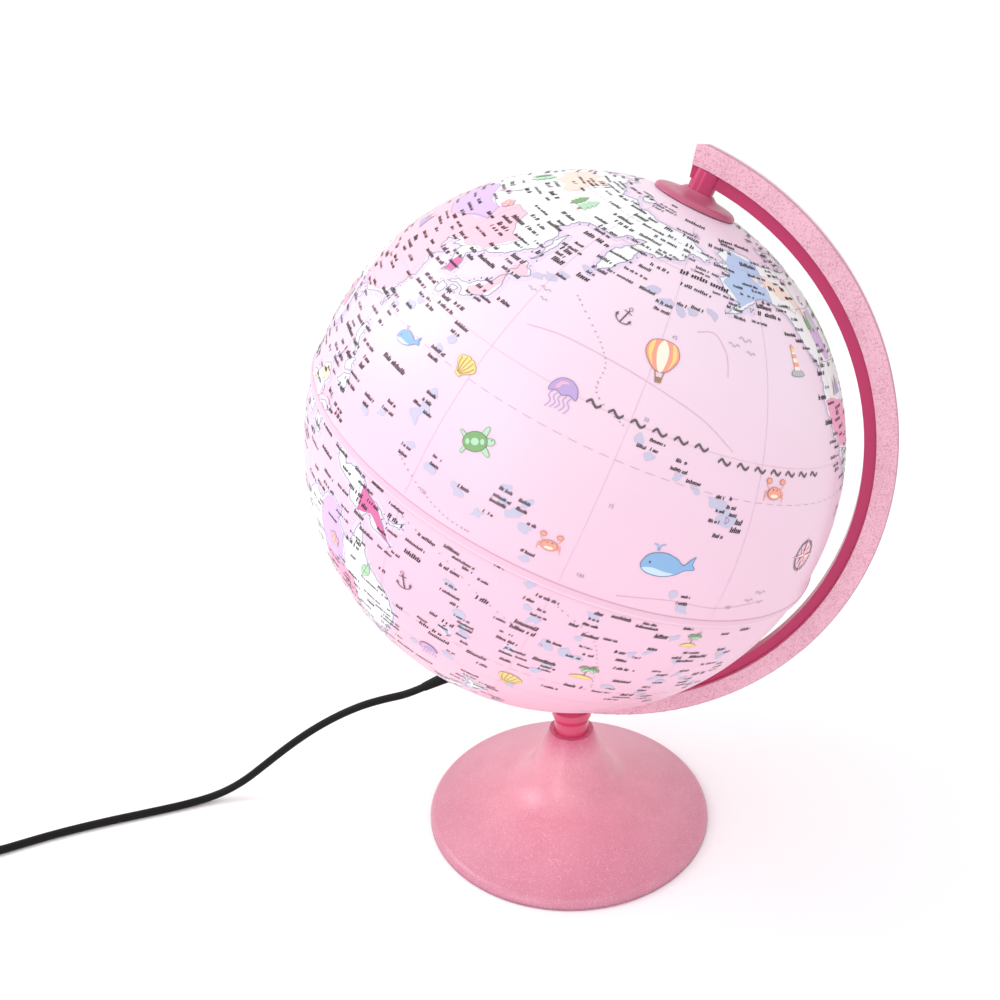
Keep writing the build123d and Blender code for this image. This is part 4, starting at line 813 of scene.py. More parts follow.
borders = [
    pairs(87.5, 49, 92, 45, 97, 42.7, 105, 41.7, 111.5, 44, 119.8, 46.7, 116, 49.8, 108, 49.5, 98, 52, 87.5,
          49),
    pairs(116, 49.8, 119.5, 53, 126, 52.8, 131, 47.8, 135, 48.4, 131, 43.5, 130.8, 42.4),
    pairs(74, 37, 78.5, 34, 79, 31, 83, 29.5, 88, 27.9, 92, 27.8, 97.5, 28, 98.8, 24.5, 101.5, 21.5, 106,
          22.8,
          108, 21.6),
    pairs(97.7, 18.5, 98.7, 15, 99.2, 12), pairs(100.5, 20, 104.7, 17.3, 105.5, 14.3, 102.5, 13.5, 102.7, 12),
    pairs(102, 22.4, 104.5, 19.5, 107.5, 15.5, 107.3, 12.3, 104.5, 10.5), pairs(126.7, 37.9, 128.4, 38.6),
    pairs(124.5, 40, 127, 41.6, 130.6, 42.4),
    pairs(87.5, 49, 80, 50.8, 70, 55, 61, 53.5, 61, 51, 52, 51.3, 47, 49.5, 49, 46.3),
    pairs(87.5, 49, 82.5, 45, 80, 42, 70, 42, 66, 42, 58.5, 45.5, 52.5, 42),
    pairs(74.5, 37, 74, 34, 75, 32.4, 71, 28, 70, 24.5, 68, 24), pairs(61.5, 25.2, 61, 30, 60.7, 36.5, 54,
        37.3),
    pairs(92, 21.5, 92.5, 24, 97, 28), pairs(60, 69, 66, 62, 60, 55),
    pairs(30, 60, 28, 56, 32, 52, 39, 49.5, 38, 47),
    pairs(44, 37, 44.5, 39.5, 41.5, 41.5), pairs(36, 36.8, 42, 37.2, 44, 37, 46, 33, 48, 30),
    pairs(-1.8, 43.3, 3.2, 42.4), pairs(7.5, 43.8, 7, 46, 8, 49, 6, 50, 3, 51.2),
    pairs(13.7, 45.6, 12, 47, 16, 48, 15, 51, 14.3, 54), pairs(23, 54, 24, 50, 22, 48, 27, 46, 28, 45),
    pairs(-123, 49, -115, 49, -105, 49, -95, 49, -88, 48.3, -83, 45.5, -79, 43.3, -75, 45, -70.5, 45.5, -67,
          45),
    pairs(-141, 69.7, -141, 65, -141, 60.3, -135, 59.3, -130, 55.5),
    pairs(-117, 32.5, -111, 31.3, -106.5, 31.8, -103, 29, -99.5, 27, -97.2, 25.9),
    pairs(-138, 60, -120, 60, -110, 60, -102, 60, -95, 60), pairs(-120, 54, -120, 60, -124, 68),
    pairs(-110, 49, -110, 60), pairs(-102, 49, -102, 60), pairs(-92, 15, -90.5, 17.5, -88.5, 16),
    pairs(-51.6, 4.2, -55, 2.3, -60, 4.5, -64, 1.5, -67.5, 1.5, -69.8, -4.3, -73.5, -7.3, -70.5, -11,
          -65.5, -10, -60, -13.5, -58, -18, -58, -22, -54.5, -25, -57.5, -30, -53.4, -33.7),
    pairs(-79, 1.3, -75, -1, -70, -4.3), pairs(-69.5, -17.5, -67, -22.8, -70, -33, -72, -45, -72, -52),
    pairs(-8.5, 27.5, 0, 22, 6, 19.5, 15, 23, 24, 20, 25, 31.5), pairs(24, 20, 24, 15, 34, 10, 42, 4, 41.5,
        -1.5),
    pairs(13, 13, 15, 8, 18, 4, 27, 4.5, 31, 3.6, 30, -4, 29, -9, 23, -11, 13, -6),
    pairs(12, -17.3, 21, -18, 25, -18, 30, -15.7, 35, -17), pairs(20, -18, 20, -28.5, 17, -29),
    pairs(129, -15, 129, -23, 129, -31.8), pairs(138, -16.5, 138, -26, 141, -26, 141, -32, 141, -38),
    pairs(129, -26, 138, -26), pairs(141, -29, 149, -28.8, 153.2, -28.5),
    pairs(141, -34, 146, -36, 149.5, -37.5),
    pairs(141, -2.6, 141, -9), pairs(109.8, 1.5, 112, 1.4, 115, 2.5, 117.4, 4.1),
]
ashore = {
    "white": (0.80, 0.81, 0.82), "outline": (0.34, 0.28, 0.34), "border": (0.42, 0.33, 0.42),
    "grid": (0.68, 0.44, 0.56), "dash": (0.56, 0.38, 0.50), "label": (0.012, 0.008, 0.012),
    "sea": (0.82, 0.54, 0.67),
    "magenta": (0.62, 0.14, 0.34), "lilac": (0.62, 0.44, 0.70),
    "rose": (0.80, 0.36, 0.52), "blue": (0.42, 0.52, 0.74), "sand": (0.80, 0.66, 0.48),
    "green": (0.36, 0.52, 0.34), "blush": (0.86, 0.50, 0.60),
    "halo": (0.53, 0.50, 0.66), "peach": (0.84, 0.66, 0.57),
    "offshore": (0.74, 0.57, 0.73), "inshore": (0.66, 0.61, 0.78),
}
tints = [
    ("peach", pairs(88, 66, 93, 63.5, 99, 64.2, 104, 62, 111, 63.4, 118, 61.8, 121, 64.5, 117, 67, 119, 70,
                    111, 71.2,
                    106, 69.2, 99, 71.5, 94, 69.6, 89.5, 70.4)),
    ("peach", pairs(-149, 65.5, -144, 63.6, -138, 64.4, -133, 61.6, -127, 62, -121, 58.4, -117.5, 57.6,
                    -119, 60.4,
                    -124, 63, -131, 65, -138, 66.6, -144, 66)),
    ("blush", pairs(74, 37, 78.5, 34, 79, 31, 83, 29.5, 88, 27.9, 92, 27.8, 97.5, 28, 98.8, 24.5, 101.5, 21.5,
                    106, 22.8, 108, 21.7, 110.5, 21.5, 114, 22.7, 116.8, 23.8, 119.2, 25.8, 120.7, 28,
                    121.6, 30.5,
                    120.7, 32.5, 119, 35, 121.8, 37, 118.7, 37.6, 117.6, 39.2, 119.5, 40, 121.6, 41, 124.3,
                    40.4,
                    127, 41.8, 130.3, 42.6, 130.8, 43.7, 134.5, 48.3, 131, 47.9, 126, 52.8, 119.5, 52.9,
                    116, 49.8,
                    119.8, 46.7, 111.5, 44, 105, 41.7, 97, 42.7, 92, 45, 87.5, 49, 82.5, 45, 80, 42, 74, 40)),
    ("blush", pairs(141.3, 45, 144.3, 43.9, 145, 43.2, 143, 42.2, 140.5, 42.3, 141, 41, 141.8, 39.4, 140.9,
                    37,
                    140.4, 35.5, 138.6, 34.9, 136.6, 34.7, 136, 35.6, 138.8, 37.4, 139.8, 39.6, 140.4, 43)),
    ("lilac", pairs(87.5, 49, 92, 45, 97, 42.7, 105, 41.7, 111.5, 44, 119.8, 46.7, 116, 49.8, 108, 49.5, 98,
                    52)),
    ("rose", pairs(97.5, 19.5, 100.5, 20, 104.7, 17.3, 105.5, 14.3, 102.5, 13.5, 101, 13.4, 100, 13.2, 99.3,
                   10,
                   98.7, 15)),
    ("magenta", pairs(127, 38.4, 128.4, 38.6, 129.3, 36.8, 129.1, 35.5, 126.8, 34.8, 126.6, 37.2)),
    ("blue", pairs(-141, 69.5, -141, 60.4, -146, 61, -151, 59.8, -158, 57.2, -161, 60, -164.5, 61.5, -161,
                   64.6,
                   -162, 67, -156.5, 70.9)),
    ("lilac", pairs(129, -15.5, 129, -26, 138, -26, 138, -17.5, 135.8, -15, 136.5, -12.4, 132.7, -11.6,
                    130.9, -13)),
    ("rose", pairs(129, -26, 129, -31.4, 131.5, -31.2, 135.5, -34.4, 137.8, -32.4, 138, -35, 141, -37.6,
                   141, -26)),
    ("magenta", pairs(141, -3, 145.3, -5, 147, -6.8, 149.8, -10, 147.3, -9.3, 144.5, -7.3, 141, -8.8)),
    ("sand", pairs(109.8, 1.6, 111.5, 2.2, 114, 4.3, 116.8, 6.6, 118.6, 5, 117.3, 4, 115, 2.5, 112, 1.4)),
    ("lilac", pairs(106.5, 22.4, 107.8, 21.7, 106.2, 19.8, 105.8, 18.5, 108.2, 15.6, 109, 12.6, 106.8, 10.7,
                    105, 9.2, 104.8, 10.4, 107.3, 12.3, 107.5, 15.5, 104.5, 19.5, 102.4, 22.3)),
    ("rose", pairs(70, 24.4, 71, 28, 75, 32.2, 79, 30.8, 83, 29, 88, 27.4, 88.2, 22.4, 82.3, 17, 80, 13.2,
                   78, 8.8, 76.8, 10, 73.4, 17, 73, 21.2, 70.6, 21.4)),
    ("sand", pairs(87.3, 48.7, 80, 50.5, 70, 54.6, 61.4, 53.2, 61.4, 51, 52, 51, 48, 49, 51, 47, 55, 46,
                   58.5, 45.2,
                   66, 42.4, 80, 42.4, 82.5, 45.4)),
    ("lilac", pairs(-110, 49.4, -110, 59.7, -120, 59.7, -120, 54, -115, 49.4)),
    ("rose", pairs(-117, 32.9, -111, 31.7, -106.5, 32.2, -104, 36.8, -109, 41, -117, 42, -124, 42, -122,
                   37.3)),
    ("green", pairs(-102, 49.4, -102, 59.7, -95, 59.7, -94.6, 58.6, -92.8, 56.9, -90, 56.2, -95, 52.8, -95,
                    49.4)),
    ("sand", pairs(-68, 1.2, -69.5, -4.3, -65, -9.6, -60, -13, -53, -9, -50.5, -1.4, -57, -1.3, -60, 1)),
    ("magenta", pairs(-69, -18, -67, -22.6, -62, -22, -58.4, -20, -60, -14, -65, -10.4, -69, -12.5)),
    ("rose", pairs(-71, -31, -69.8, -33, -71.5, -45, -69, -50.6, -66.4, -48, -67.2, -46, -64.8, -42.6, -62,
                   -39.4,
                   -57.6, -36.5, -58, -32, -62.5, -25, -67, -23.2)),
    ("lilac", pairs(15, 22.7, 24, 19.8, 24.7, 31, 20.3, 30.6, 15, 31.7, 11.6, 33, 10, 26)),
    ("rose", pairs(14, 12.5, 15.3, 8, 18, 4.3, 27, 4.8, 24, 15, 15.4, 14.5)),
    ("sand", pairs(29, -9, 30, -4, 34, -1.8, 39, -4.9, 40, -11, 35, -11.6)),
    ("blue", pairs(18.6, -31.7, 20, -28.7, 25, -25.8, 31, -22.5, 32.2, -28.3, 28, -32.6, 25.5, -33.6, 20,
                   -34.4)),
    ("magenta", pairs(-1.6, 43.7, 3, 42.8, 7, 43.8, 6.6, 46, 7.8, 48.8, 2.6, 50.6, -1.4, 48.4, -1, 46)),
    ("lilac", pairs(26.8, 37.4, 30.5, 36.8, 36, 37, 42, 37.4, 44.3, 39.5, 41.3, 41.2, 35, 41.6, 29.5, 40.7,
                    26.9, 39.4)),
]
waters = [
    pairs(50, 45, 53, 46.5, 52.3, 42, 54, 39, 53.5, 36.9, 50, 37.4, 49.5, 40.5, 47.5, 43),
    pairs(-92, 46.8, -87, 46.4, -84.7, 46.6, -88, 48.7), pairs(-87.6, 42, -86.3, 42, -85.3, 45.6, -87.6, 45),
    pairs(-83.5, 46, -80, 45, -82, 43.3, -83.4, 44.4), pairs(-83, 41.6, -79, 42.7, -81, 42.6),
    pairs(31.8, -1.2, 34, -1.3, 33.4, -2.4, 31.9, -2.4), pairs(104, 51.6, 106, 52.4, 109.8, 55.6, 108, 53.6),
    pairs(-117, 66, -119, 65.2, -124, 66, -121, 66.8), pairs(-116, 61.2, -110, 62.4, -114, 62.3),
]

landInk, lineInk = Ink(), Ink()
outlines = [(roughness, outline, 3) for roughness, outline in coasts.values()]
outlines += [(0.10, outline, 3) for outline in islands]
for number, (roughness, outline, passes) in enumerate(outlines):
    rough = roughen(outline, passes, roughness, 40 + number)
    fillShape(landInk, rough, inkLayers["land"], ashore["white"])
    drawLine(lineInk, rough, 0.36, inkLayers["edge"], ashore["outline"], closed=True)
    # pale blue shoals along the coast, on its sea side: which side that is follows from the outline's turning
    flat = flatten(rough, meanPlace(rough))
    turning = np.sum(flat[:, 0] * np.roll(flat[:, 1], -1) - np.roll(flat[:, 0], -1) * flat[:, 1])
    for width, lift, colour in ((2.3, 0.022, "offshore"), (1.1, 0.036, "inshore")):
        drawLine(landInk, rough, width, lift, ashore[colour], closed=True,
                 shift=-math.copysign(width / 2, turning))
for number, (colour, outline) in enumerate(tints):
    fillShape(landInk, roughen(outline, 2, 0.04, 90 + number), inkLayers["tint"], ashore[colour])
for number, outline in enumerate(waters):
    rough = roughen(outline, 3, 0.1, 140 + number)
    fillShape(landInk, rough, inkLayers["water"], ashore["sea"])
    drawLine(lineInk, rough, 0.3, inkLayers["edge"], ashore["outline"], closed=True)
for number, path in enumerate(borders):
    rng = np.random.default_rng(200 + number)
    for _ in range(3):
        run = np.diff(path, axis=0)
        middle = path[:-1] + run / 2 + np.stack((-run[:, 1], run[:, 0]), 1) * rng.normal(0, 0.06,
            (len(run), 1))
        path = np.insert(path, np.arange(1, len(path)), middle, axis=0)
    drawLine(lineInk, path, 0.26, inkLayers["edge"], ashore["border"])

# the southern continent is a band of quads from its coast to the edge of the ball's south collar
southLon = np.linspace(-180, 180, 361)
southCoast = np.interp(southLon, (-180, -160, -150, -135, -120, -100, -80, -68, -60, -57, -62, -45, -30,
                                  -15, 0, 20,
                                  45, 60, 75, 90, 110, 130, 150, 165, 170, 180),
                       (-78, -78, -76, -74.5, -74, -73, -73, -69, -64, -63.5, -70, -77, -76, -72, -70, -70,
                        -67.5, -67, -69, -66.5, -66, -66, -68.5, -71, -77, -78))
southCoast += np.interp(southLon, np.arange(-180, 181, 3), np.random.default_rng(7).normal(0, 0.35, 121))
southCoast[-1] = southCoast[0]
rows = np.linspace(0, 1, 9)
southLat = southCoast[None, :] * (1 - rows[:, None]) - 81.6 * rows[:, None]
southPoints = ballPoint(np.broadcast_to(southLon, southLat.shape), southLat, inkLayers["land"])
i, j = np.meshgrid(np.arange(len(rows) - 1), np.arange(len(southLon) - 1), indexing="ij")
corner = i * len(southLon) + j
below = corner + len(southLon)
landInk.add(southPoints.reshape(-1, 3), np.stack((corner, below, below + 1, corner, below + 1, corner + 1),
                                                 -1),
            ashore["white"])
drawLine(lineInk, np.stack((southLon, southCoast), 1)[:-1], 0.36, inkLayers["edge"], ashore["outline"],
         closed=True)

# grid: faint circles and meridians, and dashed tropics and polar circles
for lat in (-60, -30, 30, 60):
    circle = np.stack((np.linspace(-180, 180, 361)[:-1], np.full(360, float(lat))), 1)
    drawLine(lineInk, circle, 0.16, inkLayers["lines"], ashore["grid"], closed=True)
for lon in range(0, 360, 30):
    meridian = np.stack((np.full(157, float(lon)), np.linspace(-78, 78, 157)), 1)
    drawLine(lineInk, meridian, 0.16, inkLayers["lines"], ashore["grid"])
for lat in (-66.56, -23.44, 23.44, 66.56):
    for start in range(0, 360, 3):
        dash = np.stack((np.linspace(start, start + 1.8, 3), np.full(3, lat)), 1)
        drawLine(lineInk, dash, 0.26, inkLayers["lines"], ashore["dash"])


# shallow water round the island groups, a rounded blob each: longitude, latitude, mm across
isles = pairs(
    -155.5, 19.7, 7, -156.4, 20.9, 4, -157.9, 21.5, 4, -159.5, 22.1, 4, -164, 23.3, 3, -168, 24.6, 3, -174,
    26, 3,
    -177.4, 28.1, 3, 145.7, 15.2, 4, 144.8, 13.3, 5, 145.8, 18.2, 3, 134.5, 7.4, 4, 138, 9.5, 3, 147, 8.6, 3,
    151.8, 7.4, 4, 158.2, 6.9, 4, 163, 5.4, 3, 166, 9.3, 3, 168.2, 8.4, 4, 171, 7.1, 4, 165.4, 11.6, 3,
    169.9, 11, 3,
    173.2, 2.2, 3, 176, -2, 3, 179.2, -8.5, 4, 177.3, -6.6, 3, 167.2, -15.3, 5, 168.4, -17.8, 4, 169.4,
    -19.6, 3,
    -172.4, -13.6, 5, -170.4, -14.3, 4, -175.2, -21.1, 4, -174, -18.5, 4, -176.4, -13.2, 4, -172, -9, 3,
    -171.6, -3.6, 4, -157.4, 2.2, 4, -160, 4.6, 3, -155, -4.6, 3, -150.6, -10.8, 3, -159.8, -21.2, 4, -161,
    -10, 3,
    -158, -8.8, 3, -149.4, -17.6, 5, -151.6, -16.3, 4, -147, -15.1, 3, -144, -16.7, 3, -141, -18.2, 3,
    -138.2, -20.4, 3, -139, -9.9, 4, -140.3, -8.6, 3, -151.2, -22.6, 3, -149.4, -23.9, 3, -144.2, -27.6, 3,
    -130.1, -25, 4, -109.4, -27.1, 4, -168, 53.5, 4, -174.2, 52.2, 4, -178, 51.7, 4, 178, 51.9, 4, 173,
    52.9, 4,
    155.9, 50.2, 4, 152, 47.1, 3, 149.5, 45.5, 3, 147, 44.4, 4, 128, 26.6, 4, 129.5, 28.4, 3, 124.2, 24.5, 3,
    142.2, 27, 3, 141.3, 24.6, 3, 73.3, 4, 4, 73, 1.9, 3, 55.5, -4.7, 5, 71.9, -6.8, 4, 57.6, -20.3, 5,
    55.4, -21.3, 4, 43.5, -11.8, 5, 92.8, 12.4, 4, 93.6, 7.6, 4, 96.9, -12.1, 4, 105.7, -10.6, 4, 69.6,
    -49.2, 7,
    -28, 38.6, 5, -25.4, 37.6, 4, -16.8, 32.7, 4, -16.4, 28.3, 5, -13.8, 28.6, 4, -23.6, 15.1, 4, -24.6,
    16.9, 4,
    -5.8, -15.9, 4, -14.4, -7.9, 4, -64.8, 32.3, 4, -12.3, -37.1, 4, -36.8, -54.3, 6, -61.5, 16.2, 4, -61,
    14.4, 4,
    -61.4, 12.6, 3, -63, 18, 4, -77.4, 25, 5, -75.6, 23.4, 4, -7, 62, 4, -1.3, 60.4, 4, 166.5, -50.7, 4,
    -176.5, -44, 4, 158.9, -54.5, 4, -177.9, -30, 4, 167.9, -29, 4, 159.1, -31.6, 4, 163.5, -9.6, 4, -114.5,
    18.6, 4,
).reshape(-1, 3)


def finer(flat, step, closed=True):
    # spreads points along a flat outline so that no run between two of them is longer than step mm
    ends = np.roll(flat, -1, 0) if closed else flat[1:]
    starts = flat if closed else flat[:-1]
    pieces = [a + (b - a) * np.linspace(0, 1, max(int(np.hypot(*(b - a)) / step) + 1, 1), endpoint=False)[:,
        None]
              for a, b in zip(starts, ends)]
    return np.concatenate(pieces if closed else pieces + [flat[-1:]])


def smoothed(points, closed=True, steps=5):
    # a Catmull-Rom curve: each run leans on its two neighbours' places, p(t) as the usual cubic in t
    p = np.asarray(points, float)
    if closed:
        before, after, later = np.roll(p, 1, 0), np.roll(p, -1, 0), np.roll(p, -2, 0)
    else:
        before, after, later = np.vstack((p[:1], p[:-2])), p[1:], np.vstack((p[2:], p[-1:]))
        p = p[:-1]
    t = np.linspace(0, 1, steps, endpoint=False)[None, :, None]
    a, b, c, d = (v[:, None, :] for v in (before, p, after, later))
    curve = 0.5 * (2 * b + (c - a) * t + (2 * a - 5 * b + 4 * c - d) * t ** 2 + (3 * b - a - 3 * c + d)
                   * t ** 3)
    curve = curve.reshape(-1, 2)
    return curve if closed else np.vstack((curve, np.asarray(points, float)[-1:]))


def blob(width, seed):
    # a rounded patch: nine points on an oval whose radius wanders a little
    rng = np.random.default_rng(seed)
    angle = np.linspace(0, 2 * np.pi, 9, endpoint=False)
    reach = width / 2 * rng.uniform(0.55, 1.35, 9)
    oval = np.stack((np.cos(angle) * reach * 1.25, np.sin(angle) * reach * 0.8), 1)
    lean = rng.uniform(-0.8, 0.8)
    return smoothed(oval) @ np.array(((math.cos(lean), math.sin(lean)), (-math.sin(lean), math.cos(lean))))


for number, (lon, lat, width) in enumerate(isles):
    patch = unflatten(blob(width + 1.5, 300 + number), (lon, lat))
    fillShape(landInk, patch, inkLayers["tint"], ashore["halo"], 4.0, (lon, lat))

# dotted chains of small rises on the sea floor, and long faint current lines
chains = [
    pairs(158, 45, 166, 41, 171, 37, 172, 32, 179, 29), pairs(150, -3, 160, -5, 170, -9, 178, -12),
    pairs(-178, -4, -170, -8, -166, -14, -163, -22), pairs(146, 6, 152, 3.5, 158, 2, 163, 1.8),
    pairs(60, -10, 62, -18, 66, -26, 75, -33), pairs(-34, 40, -30, 30, -38, 20, -42, 8),
    pairs(-14, -4, -12, -18, -16, -30, -10, -42), pairs(-112, -6, -110, -18, -113, -32, -120, -44),
]
currents = [
    pairs(153, 36.2, 160, 37.6, 169, 37.9, 180, 37.2, 193, 34.9, 202, 31),
    pairs(-172, 49, -167, 50, -163, 47, -162, 43),
    pairs(-170, 2, -160, 3.4, -150, 3, -140, 4.2), pairs(55, -12, 65, -14, 78, -12.5, 90, -15),
    pairs(-60, 34, -48, 39, -36, 43, -24, 46), pairs(-20, -20, -10, -16, 0, -14, 6, -8),
    pairs(-100, -38, -92, -30, -84, -20, -82, -10), pairs(160, -38, 172, -47, 184, -50, 200, -49),
]
for path in chains:
    along = smoothed(path, False, 6)
    for number, (lon, lat) in enumerate(along):
        fillShape(lineInk, unflatten(blob(0.8, 700 + number), (lon, lat)), inkLayers["edge"],
                  ashore["border"],
                  4.0, (lon, lat))
for path in currents:
    drawLine(lineInk, smoothed(path, False, 8), 0.34, inkLayers["lines"], ashore["grid"])

# rows of small upright marks stand where a map has its place names: they look like fine print and
# spell nothing
printLook = {"pitch": 0.55, "bar": 0.33, "lean": 0.18, "space": 0.14, "tall": 0.3, "apart": 1.1}


def markRow(rng, length, height):
    # corners of a row's marks, flat in mm, centred: uprights at an even pitch with gaps, joined here
    # and there
    pitch = height * printLook["pitch"]
    count = max(int(length / pitch), 3)
    left = (np.arange(count) - count / 2) * pitch
    present = rng.random(count) > printLook["space"]
    top = np.where(rng.random(count) < printLook["tall"], 1.4, 1.0) * height
    top[0] = 1.4 * height
    bar = height * printLook["bar"]
    uprights = np.stack((left, np.zeros(count), left + bar, top), 1)[present]
    level = rng.choice((0.0, 0.4, 0.8), count) * height
    joins = np.stack((left, level, left + pitch * 0.85, level + bar * 0.75),
                     1)[present & (rng.random(count) < 0.7)]
    low, high = np.split(np.concatenate((uprights, joins)), 2, 1)
    corners = np.stack((low, np.stack((high[:, 0], low[:, 1]), 1), high,
                        np.stack((low[:, 0], high[:, 1]), 1)), 1)
    corners[..., 0] += corners[..., 1] * printLook["lean"]
    return corners


def setDown(ink, corners, lon, lat, lift, colour):
    # flat four-cornered marks about a place go on the ball, apart from any that would cross its seam
    placed = unflatten(corners.reshape(-1, 2), (lon, lat)).reshape(-1, 4, 2)
    clear = ((placed[..., 1] > 0.66) | (placed[..., 1] < -1.14)).all(1) & (np.abs(placed[..., 1]).max(1) < 81)
    clear &= np.sign(placed[:, 0, 1]) == np.sign(placed[:, 2, 1])
    placed = placed[clear].reshape(-1, 2)
    if len(placed) == 0:
        return
    first = np.arange(len(placed) // 4) * 4
    faces = np.stack((first, first + 1, first + 2, first, first + 2, first + 3), 1).reshape(-1, 3)
    ink.add(ballPoint(placed[:, 0], placed[:, 1], lift), faces, colour)


# small drawings in flat mm, east to the right and north up: how each shape is made, its paint, its points
paints = {
    "coral": (0.85, 0.34, 0.26), "cream": (0.86, 0.80, 0.66), "mint": (0.42, 0.66, 0.46),
    "moss": (0.20, 0.38, 0.16),
    "brown": (0.34, 0.20, 0.12), "sky": (0.24, 0.42, 0.68), "mist": (0.56, 0.70, 0.82),
    "sun": (0.86, 0.62, 0.22),
    "violet": (0.46, 0.34, 0.62), "stone": (0.44, 0.44, 0.46), "berry": (0.62, 0.12, 0.28),
    "ink": (0.13, 0.10, 0.11),
    "petal": (0.86, 0.42, 0.54),
}


def oval(x, y, wide, high, count=12):
    angle = np.linspace(0, 2 * np.pi, count, endpoint=False)
    return np.stack((x + wide / 2 * np.cos(angle), y + high / 2 * np.sin(angle)), 1)


def fan(count, inner, edgeShadeMask, x=0.0, y=0.0, start=90.0):
    # a star: its corners lie by turns on an outer and an inner circle
    angle = np.radians(start + np.arange(2 * count) * 180 / count)
    reach = np.where(np.arange(2 * count) % 2 == 0, edgeShadeMask, inner)
    return np.stack((x + reach * np.cos(angle), y + reach * np.sin(angle)), 1)


